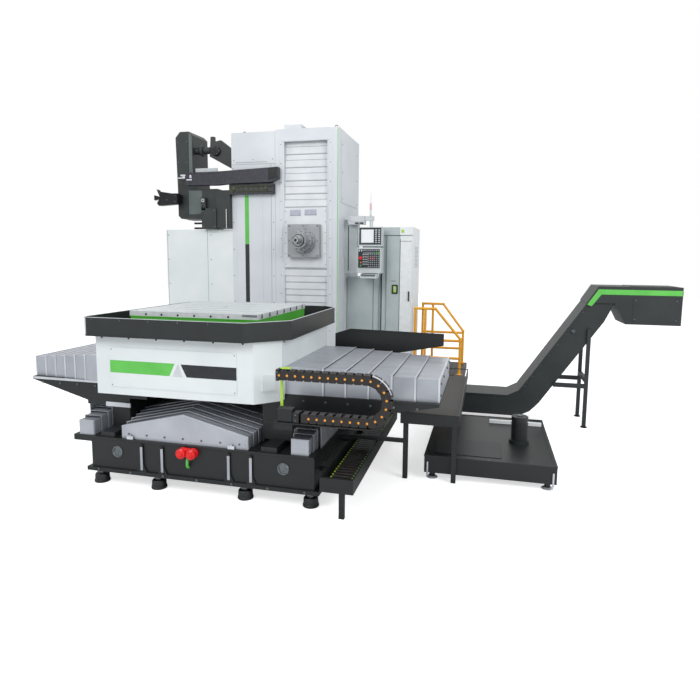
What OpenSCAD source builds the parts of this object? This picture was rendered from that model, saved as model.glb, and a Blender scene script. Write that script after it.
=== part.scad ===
// Table-type horizontal boring mill with a fixed column, at full size.
// X runs along the table travel, Y from the front of the bed to the column,
// Z up from the floor. The modules measure from the spindle's plane at the
// bed's front edge; at the end the whole is moved so that the origin lies on
// the floor under the middle of the machine's box.

/* [Bed] */
// Half width of the bed casting
bed_half = 1200; // [1150:10:1300]
// Sideways place of the bed's middle from the spindle
bed_x = 90; // [60:5:120]
// Length of the bed from its front edge to its rear
bed_len = 4950; // [4850:50:5300]
// Height of the bed's machined top over the floor
bed_top = 500; // [480:5:520]
// Height of the levelling feet
foot_h = 140; // [120:5:160]
// Width of each slideway
way_w = 160; // [140:5:165]

/* [Saddle and table] */
// Front face of the saddle's wings in the shown pose
saddle_y = 250; // [240:1:260]
// Length of the saddle along the bed
saddle_len = 1350; // [1300:10:1400]
// Left end of the saddle's wings
wing_left = -2040; // [-2200:10:-2030]
// Right end of the saddle's wings
wing_right = 2400; // [2390:10:2500]
// Top of the saddle, where the table base slides
saddle_top = 1020; // [1015:1:1025]
// Sideways place of the table in the shown pose
table_x = -30; // [-60:5:0]
// Half width of the table base housing
housing_half = 945; // [930:5:960]
// Side of the square rotary table
table_side = 1400; // [1250:10:1410]
// Top of the rotary table
table_top = 1790; // [1785:1:1800]
// Number of T-slots
slot_count = 7; // [5:1:9]

/* [Column and head] */
// Front face of the column
column_y = 3600; // [3600:10:3700]
// Top of the column
column_top = 4310; // [4290:10:4400]
// Left edge of the column
column_left = -1240; // [-1300:10:-1200]
// Right edge of the column
column_right = 530; // [500:10:560]
// Height of the spindle in the shown pose
spindle_z = 2600; // [2590:1:2610]
// Radius of the boring spindle
spindle_r = 55; // [45:1:65]

/* [Telescopic covers] */
// Steps of each telescopic cover
cover_steps = 5; // [5:1:5]
// Thickness of the cover sheet
sheet = 5; // [4:0.5:6]
// Nesting pitch from one cover section to the next
nest = 12; // [11:0.5:13]

/* [Operator side] */
// Height of the safety rails over the platform
rail_h = 1050; // [1000:10:1100]
// Radius of a rail tube
tube_r = 21; // [18:1:25]
// Length of the platform to the right of the bed
platform_len = 1190; // [1150:10:1400]

/* [Hidden] */
$fn = 48;
// ends of the whole machine: gripper tip, chain shelf, platform; the head's end is head_x1
left_end = -2520;
front_end = -160;
rear_end = 5250;

// Steps of the nested covers, from the fixed end (0) to the driven end.
last = cover_steps;
housing_l = table_x - housing_half;
housing_r = table_x + housing_half;
tray_wall = 10;
// half the table's diagonal with room to turn inside the tray
tray_half = table_side / 2 * sqrt(2) + 30 + tray_wall;
tray_z = 1570;
tray_rim = 1745;
turn_y = 875;
tray_y0 = turn_y - tray_half + 15;
tray_y1 = turn_y + tray_half - 15;
housing_y0 = -40;
housing_y1 = 1790;
skirt_z = 970;
cover_y0 = saddle_y;
cover_y1 = saddle_y + saddle_len;
side_cover_l = 390;
way_cover_front = 400;
way_cover_rear = 425;
front_y = 30;
saddle_front = 510;
column_foot = 3500;
bed_l = bed_x - bed_half;
bed_r = bed_x + bed_half;
// middles of the gabled cover and of the two small side covers
gable_x = -75;
side_l = -1185;
side_r = 1140;
shutter_overlap = 135;
shutter_half = 345;
// the headstock's front plate, set from the spindle
plate_z0 = spindle_z - 410;
plate_z1 = spindle_z + 510;
opening_z0 = 1150;
opening_z1 = column_top - 190;
shaft_half = shutter_half + 30;
cavity_z0 = 1000;
cavity_z1 = column_top - 40;
seat = 0.3;
platform_z = bed_top;

function lerp(a, b, t) = a + (b - a) * t;

module box(x0, x1, y0, y1, z0, z1)
    translate([x0, y0, z0]) cube([x1 - x0, y1 - y0, z1 - z0]);

// A flat outline in X and Z, carried from y0 to y1.
module along_y(y0, y1, points)
    translate([0, y1, 0]) rotate([90, 0, 0]) linear_extrude(y1 - y0) polygon(points);

// A flat outline in Y and Z, carried from x0 to x1.
module along_x(x0, x1, points)
    translate([x0, 0, 0]) rotate([90, 0, 90]) linear_extrude(x1 - x0) polygon(points);

// Bed
lift_x = 895;

module bed() color("#1f2626") {
    difference() {
        union() {
            box(bed_l, bed_r, 0, bed_len, foot_h + 40, bed_top);
            box(bed_l - 50, bed_r + 50, -20, bed_len + 20, foot_h, foot_h + 40);
            // ledge that carries the left side cover
            box(side_l - 145, bed_l, 10, column_foot, bed_top - 60, bed_top);
            // the rear is as wide as the column that stands on it
            box(column_left, bed_l, column_y + 40, bed_len, foot_h + 40, bed_top);
            // ribs on the front face
            for (x = [-610, -380, 340, 570]) box(bed_x + x - 14, bed_x + x + 14, -20, 0, foot_h + 40,
                bed_top - 40);
        }
        // lifting holes with a coned bottom
        for (x = [-lift_x, lift_x]) translate([bed_x + x, -1, 360]) rotate([-90, 0, 0]) {
            cylinder(r = 42, h = 120);
            translate([0, 0, 120]) cylinder(r1 = 42, r2 = 6, h = 14);
        }
    }
}

module levelling_feet() color("#23292a")
    for (x = [-bed_half + 55, -475, 475, bed_half - 55], i = [0:4])
        translate([bed_x + x, lerp(70, bed_len - 100, i / 4), 0]) {
            cylinder(r = 75, h = 90);
            translate([0, 0, 90]) cylinder(r = 40, h = foot_h - 90);
        }

// A slideway runs on each side of the gabled cover, inside the small side cover.
way_l = (side_l + 150 + gable_x - gable_half(last)) / 2;
way_r = (side_r - 150 + gable_x + gable_half(last)) / 2;

module bed_slideways() color("#8f989c") for (x = [way_l, way_r])
    box(x - way_w / 2, x + way_w / 2, 20, column_foot, bed_top, bed_top + 50);

module front_fittings() {
    color("#e01818") for (x = [-54, 54]) translate([x, 0, 430]) rotate([90, 0, 0]) {
        cylinder(r = 50, h = 70);
        translate([0, 0, 70]) cylinder(r = 34, h = 25);
    }
    color("#e01818") box(-20, 20, -30, 0, 340, 382);
}

trough_x = bed_r + 100;
trough_w = 310;
trough_y1 = 2300;
trough_z = 250;

module side_chain_trough() color("#14191a") {
    // bracket plates on the bed, then an open trough
    for (y = [200, 1100, 2000]) box(bed_r, trough_x + 10, y, y + 40, 300, 330);
    difference() {
        box(trough_x, trough_x + trough_w, front_end, trough_y1, trough_z, trough_z + 140);
        box(trough_x + 10, trough_x + trough_w - 10, -150, trough_y1 - 10, trough_z + 10, trough_z + 150);
    }
    box(trough_x + 170, trough_x + 220, -130, -90, 0, trough_z);
}

// Way covers over the bed
// Section k of the gabled middle cover with the two small side covers.
function gable_half(k) = 690 + nest * k;
function gable_eave(k) = 625 + nest * k;
function gable_apex(k) = 790 + nest * k;
function side_cover_half(k) = 85 + 10 * k;
function side_cover_top(k) = 650 + 22 * k;

function gable_ring(k, z0) = [
    [-gable_half(k), z0], [-gable_half(k), gable_eave(k)], [0, gable_apex(k)],
    [gable_half(k), gable_eave(k)], [gable_half(k), z0], [gable_half(k) - sheet, z0],
    [gable_half(k) - sheet, gable_eave(k) - sheet], [0, gable_apex(k) - sheet],
    [-gable_half(k) + sheet, gable_eave(k) - sheet], [-gable_half(k) + sheet, z0]];

function side_ring(k, z0) = let (w = side_cover_half(k), t = side_cover_top(k)) [
    [-w, z0], [-w, t], [w, t], [w, z0], [w - sheet, z0],
    [w - sheet, t - sheet], [sheet - w, t - sheet], [sheet - w, z0]];

module gable_cover(k, y0, y1, z0)
    translate([gable_x, 0, 0]) along_y(y0, y1, gable_ring(k, z0));

module side_covers(k, y0, y1, z0)
    for (x = [side_l, side_r]) translate([x, 0, 0]) along_y(y0, y1, side_ring(k, z0));

module way_cover(k, y0, y1, z0) color("#b9bdc8") {
    gable_cover(k, y0, y1, z0);
    side_covers(k, y0, y1, z0);
}

function front_cover_y(k) = lerp(front_y, saddle_front, k / last);
function rear_cover_y(k) = lerp(column_foot, cover_y1, k / last);

module way_cover_pair(k, z0) {
    way_cover(k, front_cover_y(k), front_cover_y(k) + way_cover_front, z0);
    way_cover(k, rear_cover_y(k) - way_cover_rear, rear_cover_y(k), z0);
}

module way_cover_fixed() {
    way_cover_pair(0, bed_top);
    color("#b9bdc8") {
        translate([gable_x, 0, 0]) along_y(front_y - 6, front_y, [[-gable_half(0), bed_top],
            [-gable_half(0), gable_eave(0)], [0, gable_apex(0)], [gable_half(0), gable_eave(0)],
            [gable_half(0), bed_top]]);
        for (x = [side_l, side_r]) box(x - side_cover_half(0), x + side_cover_half(0), front_y - 6,
            front_y, bed_top, side_cover_top(0));
    }
}

// Saddle
tunnel_half = gable_half(last);
tunnel_top = gable_apex(last);
under_side = side_cover_top(last);

module saddle() color("#272d2e") difference() {
    slide_z = bed_top + 50 + seat;
    along_y(saddle_y, cover_y1, [[wing_left, saddle_top], [wing_left, saddle_top - 30],
        [side_l - 155, 800], [side_l - 155, under_side], [side_l + 150, under_side],
        [side_l + 150, slide_z], [gable_x - tunnel_half, slide_z], [gable_x - tunnel_half, tunnel_top],
        [gable_x + tunnel_half, tunnel_top], [gable_x + tunnel_half, slide_z], [side_r - 150, slide_z],
        [side_r - 150, under_side], [side_r + 260, under_side], [side_r + 260, 800],
        [wing_right, saddle_top - 30], [wing_right, saddle_top]]);
    // the middle of the front stands back
    box(-620, gable_x + tunnel_half + 1, saddle_y - 1, saddle_front, 500, saddle_top - 90);
}

// The driven sections ride on the saddle, in front of it and behind it.
module saddle_way_covers() color("#c4c8d2") {
    k = last;
    z = bed_top + seat;
    gable_cover(k, saddle_front, saddle_front + way_cover_front, z);
    gable_cover(k, cover_y1 - way_cover_rear, cover_y1, z);
    side_covers(k, saddle_y + 6, saddle_front + way_cover_front, z);
    side_covers(k, cover_y1 - way_cover_rear, cover_y1, z);
}

// Section k of the table's telescopic covers, on the left and on the right.
function cover_inset(k) = nest * (last - k);
function right_cover_x(k) = lerp(wing_right - side_cover_l, housing_r, k / last);
function left_cover_x(k) = lerp(wing_left + side_cover_l, housing_l, k / last);

function cover_ring(k, z0) = let (i = cover_inset(k), a = cover_y0 + i, b = cover_y1 - i,
        t = 1290 - i) [
    [a, z0], [a, t], [b, t], [b, z0], [b - sheet, z0], [b - sheet, t - sheet],
    [a + sheet, t - sheet], [a + sheet, z0]];

module table_cover(k, z0) color("#aeb2bf") {
    along_x(right_cover_x(k), right_cover_x(k) + side_cover_l, cover_ring(k, z0));
    along_x(left_cover_x(k) - side_cover_l, left_cover_x(k), cover_ring(k, z0));
}

module saddle_cover_ends() {
    table_cover(0, saddle_top);
    i = cover_inset(0);
    color("#7d838c") for (x = [wing_left, wing_right - 6])
        box(x, x + 6, cover_y0 + i, cover_y1 - i, saddle_top, 1290 - i);
}

// tapering guard plate behind the right cover, clear of the table base
guard_y = housing_y1 + 15;

module saddle_splash_guard() color("#1d2324") {
    r = wing_right - 100;
    along_y(guard_y, guard_y + 12, [[1000, 900], [1000, 1410], [1180, 1470], [r, 1450],
        [r, 1330], [r - 540, 1220], [r - 600, 900]]);
    for (x = [1040, 1600]) box(x, x + 40, cover_y1, guard_y, 900, 960);
}

// shelf in front of the right wing that carries the table's cable chain
module saddle_chain_tray() color("#14191a") {
    box(950, 1850, front_end, saddle_y, 850, 862);
    box(950, 1850, -50, -44, 862, 952);
    box(950, 1130, -150, saddle_y, 790, 850);
}

// Table
// Plan outline with a cut corner on the operator's side.
module corner_cut(l, r, y0, y1, c, small = 0)
    polygon(concat(small > 0 ? [[l, y0 + small], [l + small, y0]] : [[l, y0]],
        [[r - c, y0], [r, y0 + c], [r, y1 - c / 2], [r - c / 2, y1], [l, y1]]));

housing_cut = 204;

module table_base_housing() color("#e6ecec") {
    floor_z = saddle_top + seat;
    translate([0, 0, floor_z]) linear_extrude(tray_z - 10 - floor_z)
        corner_cut(housing_l, housing_r, housing_y0, housing_y1, housing_cut);
    // the skirts that hang in front of and behind the saddle
    translate([0, 0, skirt_z]) linear_extrude(floor_z + 1 - skirt_z)
        polygon([[housing_l, housing_y0], [housing_r - housing_cut, housing_y0],
            [housing_r - 1, housing_y0 + housing_cut - 1], [housing_r - 1, saddle_y - 15],
            [housing_l, saddle_y - 15]]);
    box(housing_l, housing_r - housing_cut, housing_y1 - 60, housing_y1, skirt_z, floor_z + 1);
}

module table_base_covers() color("#c4c8d2") {
    along_x(housing_r, housing_r + side_cover_l, cover_ring(last, saddle_top + seat));
    along_x(housing_l - side_cover_l, housing_l, cover_ring(last, saddle_top + seat));
}

module table_base_panel() color("#eef2f2") {
    box(housing_l + 160, housing_r - 370, housing_y0 - 8, housing_y0, 1050, 1445);
    // raised cover on the cut corner
    translate([housing_r - housing_cut / 2, housing_y0 + housing_cut / 2, 1090]) rotate([0, 0, 45])
        box(-65, 65, -22, 0, 0, 150);
}

module tray_plan(w) corner_cut(table_x - tray_half + w, table_x + tray_half - w, tray_y0 + w, tray_y1 - w,
    340 - w * 0.6, 60 - w * 0.6);

module chip_tray() color("#333a3c") difference() {
    translate([0, 0, tray_z - 10]) linear_extrude(tray_rim - tray_z + 10) tray_plan(0);
    translate([0, 0, tray_z + 20]) linear_extrude(200) tray_plan(tray_wall);
}

module rotary_table() {
    h = table_side / 2;
    pitch = table_side / slot_count;
    difference() {
        union() {
            color("#5fc06a") translate([table_x, turn_y, tray_z + 20 + seat])
                cylinder(r = h - 60, h = 60);
            color("#5fc06a") box(table_x - h + 6, table_x + h - 6, turn_y - h + 6, turn_y + h - 6,
                tray_z + 20 + 50, table_top - 50);
            color("#d7dcdc") box(table_x - h, table_x + h, turn_y - h, turn_y + h,
                table_top - 60, table_top);
        }
        // T-slots along X
        for (i = [0:slot_count - 1]) {
            y = turn_y - h + pitch * (i + 0.5);
            box(table_x - h - 1, table_x + h + 1, y - 14, y + 14, table_top - 45, table_top + 1);
            box(table_x - h - 1, table_x + h + 1, y - 25, y + 25, table_top - 45, table_top - 26);
        }
        translate([table_x, turn_y, table_top - 140]) cylinder(r = 45, h = 150);
    }
}

// Column
module column() color("#dfe3e6") difference() {
    union() {
        box(column_left, -500, column_y + 40, bed_len, bed_top, column_top - 20);
        box(-500, column_right, column_y, bed_len, bed_top, column_top);
        box(-360, -80, column_y + 40, column_y + 300, column_top, column_top + 70);
    }
    // the shaft that the headstock runs in, and its opening in the front
    box(-shaft_half, shaft_half, column_y + 12, column_y + 860, cavity_z0, cavity_z1);
    box(-shutter_half - 5, shutter_half + 5, column_y - 1, column_y + 13, opening_z0, opening_z1);
}

module column_left_cover() color("#e9edef") {
    box(column_left, -500, column_y, column_y + 40, 3800 + 4, column_top - 20);
    box(column_left, -500, column_y, column_y + 40, 1100, 3800);
    box(column_left, -500, column_y + 20, column_y + 40, bed_top, 1100);
}

// One group of slats: each leans out towards its lower edge, on a common back.
slat = 104;
slat_lean = 4;

module shutter_sheet(y, z0, z1) {
    n = max(1, round((z1 - z0) / slat));
    p = (z1 - z0) / n;
    teeth = [for (i = [0:n - 1]) each [[y, z0 + i * p], [y - slat_lean, z0 + i * p + 10],
        [y - 0.5, z0 + (i + 1) * p - 1.5]]];
    along_x(-shaft_half + seat, shaft_half - seat, concat(teeth, [[y + 3, z1], [y + 3, z0]]));
}

upper_step = (opening_z1 - plate_z1) / last;
lower_step = (plate_z0 - opening_z0) / last;
function shutter_y(k) = column_y + 18 + nest * (last - k);
function upper_z(k) = opening_z1 - upper_step * (k + 1);
function upper_top(k) = upper_z(k) + upper_step + shutter_overlap;
function lower_top(k) = opening_z0 + lower_step * (k + 1);
function lower_z(k) = lower_top(k) - lower_step - shutter_overlap;

module shutter(k) color("#e6e9ec") {
    shutter_sheet(shutter_y(k), upper_z(k), upper_top(k));
    shutter_sheet(shutter_y(k), lower_z(k), lower_top(k));
}

module column_shutter_fixed() {
    shutter(0);
    // side lugs that hold the fixed slats to the shaft's walls
    color("#e6e9ec") for (s = [-1, 1], z = [[upper_z(0), upper_top(0)], [lower_z(0), lower_top(0)]])
        box(s * (shaft_half - 5) - 5, s * (shaft_half - 5) + 5, shutter_y(0), shutter_y(0) + 3,
            z[0], z[1]);
}

bore_r = spindle_r + 25;

module headstock() difference() {
    union() {
        color("#e3e7ea") box(-shutter_half, shutter_half, column_y - 10, column_y + 8, plate_z0, plate_z1);
        color("#9aa2a6") box(-300, 300, column_y + 8, column_y + 110, spindle_z - 200, spindle_z + 300);
        color("#8b9397") box(-340, 340, column_y + 110, column_y + 800, plate_z0 + 60, plate_z1 - 60);
    }
    translate([0, column_y + 760, spindle_z]) rotate([90, 0, 0]) cylinder(r = bore_r + 15, h = 900);
}

module headstock_shutter() color("#e6e9ec") {
    y = shutter_y(last);
    shutter_sheet(y, upper_z(last), upper_top(last));
    shutter_sheet(y, lower_z(last), lower_top(last));
    // spacers back to the plate
    for (s = [-1, 1], z = [plate_z0 + 30, plate_z1 - 60])
        box(s * 250 - 20, s * 250 + 20, column_y + 8, y, z, z + 30);
}

module spindle_housing() difference() {
    union() {
        color("#a6a9aa") box(-255, 255, column_y - 120, column_y - 10, spindle_z - 250, spindle_z + 255);
        color("#8f9496") translate([0, column_y - 120, spindle_z]) rotate([90, 0, 0]) {
            cylinder(r = 190, h = 40);
            translate([0, 0, 40]) cylinder(r = 165, h = 60);
            translate([0, 0, 100]) cylinder(r = 120, h = 120);
        }
    }
    translate([0, column_y, spindle_z]) rotate([90, 0, 0]) cylinder(r = bore_r, h = 400);
}

// The quill carries the spindle forward out of its housing.
module quill() color("#c8cdd0") difference() {
    translate([0, column_y + 660, spindle_z]) rotate([90, 0, 0]) cylinder(r = bore_r - seat, h = 1020);
    translate([0, column_y + 661, spindle_z]) rotate([90, 0, 0]) cylinder(r = spindle_r, h = 1030);
}

module boring_spindle() difference() {
    union() {
        color("#5b6164") translate([0, column_y + 640, spindle_z]) rotate([90, 0, 0])
            cylinder(r = spindle_r - seat, h = 1030);
        color("#16191a") translate([0, column_y - 390, spindle_z]) rotate([90, 0, 0])
            cylinder(r = 44, h = 90);
    }
    // socket for a tool
    translate([0, column_y - 400, spindle_z]) rotate([90, 0, 0]) cylinder(r = 22, h = 90);
}

// Tool changer
module changer_tower() color("#3d4645")
    along_y(3560, 4060, [[-2180, 3430], [-2200, 4250], [-2120, 4340], [-1960, 4340], [-1900, 4280],
        [-1900, 3760], [-1860, 3430]]);

module changer_gearbox() {
    color("#33383f") difference() {
        box(-2180, -1730, 3560, 4060, 2960, 3430);
        for (x = [-2180, -1730]) translate([x, 3500, 2960]) rotate([-90, 0, 0])
            rotate([0, 0, 45]) cube([70, 70, 700], center = true);
    }
    color("#8b8e94") box(-1730, -1480, 3500, 3760, 2790, 3120);
    color("#1c1e22") box(-1480, -1241, 3520, 3760, 2800, 3400);
    color("#1c1e22") box(-1730, -1480, 3560, 3900, 3120, 3430);
}

module changer_beam() {
    color("#4b4c5c") along_y(3450, 3560, [[-1980, 3480], [-1980, 3660], [-1240, 3690], [-400, 3725],
        [-400, 3560], [-520, 3500], [-1240, 3490], [-1440, 3475]]);
    color("#55604a") box(-1240, -500, 3500, column_y, 3330, 3485);
}

module changer_gripper() {
    color("#1f2422") along_y(3380, 3480, [[-2460, 3420], [-2440, 3390], [-2180, 3350], [-2090, 3350],
        [-2090, 3180], [-2430, 3160], [-2460, 3200], [-2400, 3290]]);
    color("#1f2422") box(-2180, -2100, 3480, 3560, 3200, 3340);
    color("#c9ccd0") along_y(3400, 3460, [[left_end, 3330], [-2399, 3300], [-2399, 3280], [left_end, 3250]]);
    color("#9aa0a2") box(-1980, -1730, 3700, 3740, 2800, 2830);
    color("#9aa0a2") box(-1980, -1730, 3700, 3740, 2880, 2910);
}

module changer_bracket() {
    color("#2b3130") along_y(3640, 3700, [[-1620, 4260], [-1560, 4260], [-1560, 4180], [-1440, 4200],
        [-1240, 4050], [-1240, 3740], [-1640, 3950]]);
    color("#2b3130") translate([-1900, 3670, 4050]) rotate([0, 90, 0]) cylinder(r = 55, h = 270);
    color("#2b3130") translate([-1790, 3670, 4050]) rotate([0, 90, 0]) cylinder(r = 90, h = 40);
}

guard_l = column_left - 1200;
guard_r = column_left - seat;
guard_top = 2785;
guard_step = 1400;

// Sheet guard beside the column: an upper and a lower sheet on two posts.
module sheet_guard() color("#e8efef") {
    y = column_y;
    box(guard_l, guard_r, y, y + 20, guard_step, guard_top);
    for (x = [guard_l, guard_l + 790]) box(x, x + 40, y + 20, y + 60, 0, guard_top);
    box(guard_l, guard_r, y + 60, y + 70, 0, guard_step);
}

// Operator side
module cabinet() {
    color("#b5c0c0") {
        box(540, 1060, 4150, 4950, platform_z, 2030);
        box(1060, 1120, 4180, 4950, platform_z, 2800);
    }
    color("#eef1f1") box(1120, 1620, 4150, 4950, platform_z, 2840);
}

// The door swings on three hinge barrels at its right edge.
hinge_x = 1605;
hinge_y = 4118;

module cabinet_door() color("#b5c0c0") {
    box(1200, hinge_x, hinge_y, 4150 - seat, platform_z + 60, 2700);
    for (z = [platform_z + 200, 1600, 2500]) translate([hinge_x, hinge_y, z]) cylinder(r = 9, h = 80);
}

module pendant_arm() {
    color("#c9cfd0") box(column_right, 740, 3990, 4150, 2100, 2950);
    color("#d5dadb") box(620, 880, 3860, 3990, 2870, 3000);
    color("#d5dadb") translate([980, 3925, 2830 + seat]) cylinder(r = 28, h = 110);
    color("#d5dadb") box(860, 1020, 3890, 3960, 2930, 3000);
}

module operator_pendant() {
    color("#c6cbcc") box(790, 1170, 3840, 4000, 2530, 2830);
    color("#1e2226") box(835, 1040, 3832, 3840, 2580, 2790);
    color("#c6cbcc") box(780, 1170, 3800, 4000, 2110, 2510);
    color("#c6cbcc") box(850, 1100, 3900, 3980, 2510, 2530);
    color("#2a2d33") box(800, 1150, 3790, 3800, 2190, 2490);
    color("#a7adad") box(850, 1110, 3720, 3860, 2030, 2100);
    color("#a7adad") box(850, 1110, 3860, 3900, 2030, 2110);
}

module operator_platform() color("#2a3030") {
    box(bed_r, bed_r + platform_len, 4100, rear_end, platform_z - 90, platform_z);
    for (x = [bed_r + 150, bed_r + platform_len - 80], y = [4200, 5150])
        box(x - 30, x + 30, y - 30, y + 30, 0, platform_z - 90);
}

module tube(a, b, r = tube_r) {
    d = b - a;
    l = norm(d);
    translate(a) rotate([0, acos(d[2] / l), atan2(d[1], d[0])]) cylinder(r = r, h = l, $fn = 24);
}

// A safety rail: two posts, a sloping end, two bars and ball joints at the corners.
module platform_rail(x0, x1, x2, y, z) {
    pts = [[x0, y, z], [x0, y, z + rail_h], [x1, y, z + rail_h], [x2, y, z + rail_h * 0.55], [x2, y, z]];
    color("#f0a818") {
        for (i = [0:3]) tube(pts[i], pts[i + 1]);
        for (i = [1:3]) translate(pts[i]) sphere(r = tube_r * 1.2, $fn = 24);
        for (t = [0.25, 0.52]) tube([x0, y, z + rail_h * t], [x2, y, z + rail_h * t]);
        tube([(x0 + x1) / 2, y, z], [(x0 + x1) / 2, y, z + rail_h]);
    }
}

module platform_rail_front() platform_rail(1680, 2000, 2400, 4150, platform_z);
module platform_rail_rear() platform_rail(1680, 2040, 2400, 5200, platform_z);

// The tray on legs that leads chips to the conveyor.
side_tray_x = 1950;
side_tray_w = 610;
side_tray_z = 620;
side_tray_wall = 12;
leg = 50;

module side_chip_tray() color("#2b3131") {
    x = side_tray_x;
    z = side_tray_z;
    w = side_tray_wall;
    difference() {
        box(x, x + side_tray_w, 900, conveyor_y - 10, z, z + 120);
        box(x + w, x + side_tray_w - w, 900 + w, conveyor_y - 9, z + w, z + 121);
    }
    box(x + side_tray_w - 75, x + side_tray_w - 75 + leg, 950, 950 + leg, 0, z);
    for (y = [950, 3380]) box(x + 25, x + 25 + leg, y, y + leg, 0, z);
    box(bed_r, x + 25, 955, 995, trough_z + 140, trough_z + 180);
    // chute down into the chip conveyor
    box(x + 400, x + 550, 3380, conveyor_y + 110, conveyor_low, z);
}

// The conveyor: a flat run, a rise and a head over the chip bin's place.
conveyor_y = 3450;
conveyor_w = 540;
conveyor_low = 390;
conveyor_top = 1760;

module conveyor_channel() color("#343c3d")
    along_y(conveyor_y, conveyor_y + conveyor_w, [[bed_r + 60, 90], [bed_r + 60, conveyor_low],
        [3130, conveyor_low], [3280, conveyor_low + 80], [4130, conveyor_top], [4480, conveyor_top],
        [4360, 1500], [3560, 300], [3440, 170], [3280, 90]]);

head_x1 = 5300;
head_y0 = conveyor_y - 30;
head_y1 = conveyor_y + conveyor_w + 30;

module conveyor_head() {
    color("#3d4646") along_y(head_y0, head_y1, [[4120, conveyor_top], [4260, conveyor_top + 230],
        [head_x1, conveyor_top + 230], [head_x1, conveyor_top - 280], [4620, conveyor_top - 280],
        [4480, conveyor_top]]);
    color("#6cc07a") box(4300, head_x1, head_y0 - 6, head_y0, conveyor_top + 120, conveyor_top + 170);
}

module conveyor_legs() color("#343c3d") {
    for (y = [conveyor_y - 40, conveyor_y + conveyor_w]) {
        box(4150, 4200, y, y + 40, 0, 1400);
        box(3740, 4160, y, y + 40, 560, 620);
    }
    box(4150, 4200, conveyor_y - 10, conveyor_y + conveyor_w + 10, 640, 700);
    for (y = [conveyor_y + 20, conveyor_y + conveyor_w - 70]) box(1500, 1560, y, y + 50, 0, 90);
}

// The coolant tank on its four feet, with the pump on top.
tank_x0 = 2200;
tank_x1 = 3540;
tank_y0 = 1000;
tank_y1 = 2700;
tank_foot = 75;
tank_top = 260;
pump_x = tank_x1 - 340;
pump_y = tank_y0 + 700;

module coolant_tank() {
    color("#23292a") box(tank_x0, tank_x1, tank_y0, tank_y1, tank_foot, tank_top);
    color("#23292a") for (x = [tank_x0 + 80, tank_x1 - 80], y = [tank_y0 + 80, tank_y1 - 80])
        translate([x, y, 0]) cylinder(r = 30, h = tank_foot);
    color("#e6e6e6") box(tank_x1 - 660, tank_x1 - 40, tank_y1 - 300, tank_y1 - 280, tank_top, tank_top + 40);
}

module coolant_pump() translate([pump_x, pump_y, tank_top]) {
    color("#2d3435") cylinder(r = 110, h = 40);
    color("#2d3435") translate([0, 0, 40]) cylinder(r = 85, h = 220);
    color("#3a4243") translate([0, 0, 260]) cylinder(r = 92, h = 50);
}

// Cable chain from the saddle's shelf to the table base, one fixed loop.
chain_r = 185;
chain_h = 70;
chain_x = 1830;

module table_chain() color("#2a2422") {
    y0 = -150;
    z0 = 862;
    z1 = z0 + chain_h;
    mid_z = z0 + chain_h / 2 + chain_r;
    box(1130, chain_x, y0, y0 + 95, z0, z1);
    box(1000, chain_x, y0, y0 + 95, z0 + 2 * chain_r, z1 + 2 * chain_r);
    translate([chain_x, y0 + 95, mid_z]) rotate([90, 0, 0]) intersection() {
        difference() {
            cylinder(r = chain_r + chain_h / 2, h = 95);
            translate([0, 0, -1]) cylinder(r = chain_r - chain_h / 2, h = 97);
        }
        translate([0, -300, 0]) cube([300, 600, 95]);
    }
}

translate([-(left_end + head_x1) / 2, -(front_end + rear_end) / 2, 0]) {
    bed();
    levelling_feet();
    bed_slideways();
    front_fittings();
    side_chain_trough();
    way_cover_fixed();
    way_cover_pair(1, bed_top + seat);  // way_cover_1
    way_cover_pair(2, bed_top + seat);  // way_cover_2
    way_cover_pair(3, bed_top + seat);  // way_cover_3
    way_cover_pair(4, bed_top + seat);  // way_cover_4
    saddle();
    saddle_splash_guard();
    saddle_cover_ends();
    saddle_chain_tray();
    saddle_way_covers();
    table_cover(1, saddle_top + seat);  // table_cover_1
    table_cover(2, saddle_top + seat);  // table_cover_2
    table_cover(3, saddle_top + seat);  // table_cover_3
    table_cover(4, saddle_top + seat);  // table_cover_4
    table_base_housing();
    table_base_panel();
    table_base_covers();
    chip_tray();
    rotary_table();
    column();
    column_left_cover();
    column_shutter_fixed();
    shutter(1);  // shutter_1
    shutter(2);  // shutter_2
    shutter(3);  // shutter_3
    shutter(4);  // shutter_4
    headstock();
    headstock_shutter();
    spindle_housing();
    quill();
    boring_spindle();
    changer_tower();
    changer_gearbox();
    changer_beam();
    changer_gripper();
    changer_bracket();
    sheet_guard();
    pendant_arm();
    operator_pendant();
    cabinet();
    cabinet_door();
    operator_platform();
    platform_rail_front();
    platform_rail_rear();
    side_chip_tray();
    conveyor_channel();
    conveyor_head();
    conveyor_legs();
    coolant_tank();
    coolant_pump();
    table_chain();
}
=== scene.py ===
from math import radians, sin, cos, pi
import bpy
import numpy as np
from mathutils import Matrix, Vector


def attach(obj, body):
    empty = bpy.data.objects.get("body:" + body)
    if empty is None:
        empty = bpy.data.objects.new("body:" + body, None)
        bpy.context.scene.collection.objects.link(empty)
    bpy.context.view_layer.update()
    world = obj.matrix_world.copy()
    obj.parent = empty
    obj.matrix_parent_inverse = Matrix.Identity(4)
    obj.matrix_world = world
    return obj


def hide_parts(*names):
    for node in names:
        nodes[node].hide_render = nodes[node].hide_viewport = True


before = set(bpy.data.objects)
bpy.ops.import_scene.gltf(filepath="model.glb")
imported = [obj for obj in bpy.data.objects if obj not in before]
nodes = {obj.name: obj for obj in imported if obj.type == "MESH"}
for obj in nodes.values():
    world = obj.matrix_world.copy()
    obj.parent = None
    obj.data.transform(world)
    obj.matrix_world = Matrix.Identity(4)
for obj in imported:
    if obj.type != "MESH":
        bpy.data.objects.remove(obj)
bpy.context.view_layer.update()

# pieces are laid out from the bed's front edge; the frame's origin lies under the machine's middle
layout = np.array((-1.39, -2.545, 0.0))

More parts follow.
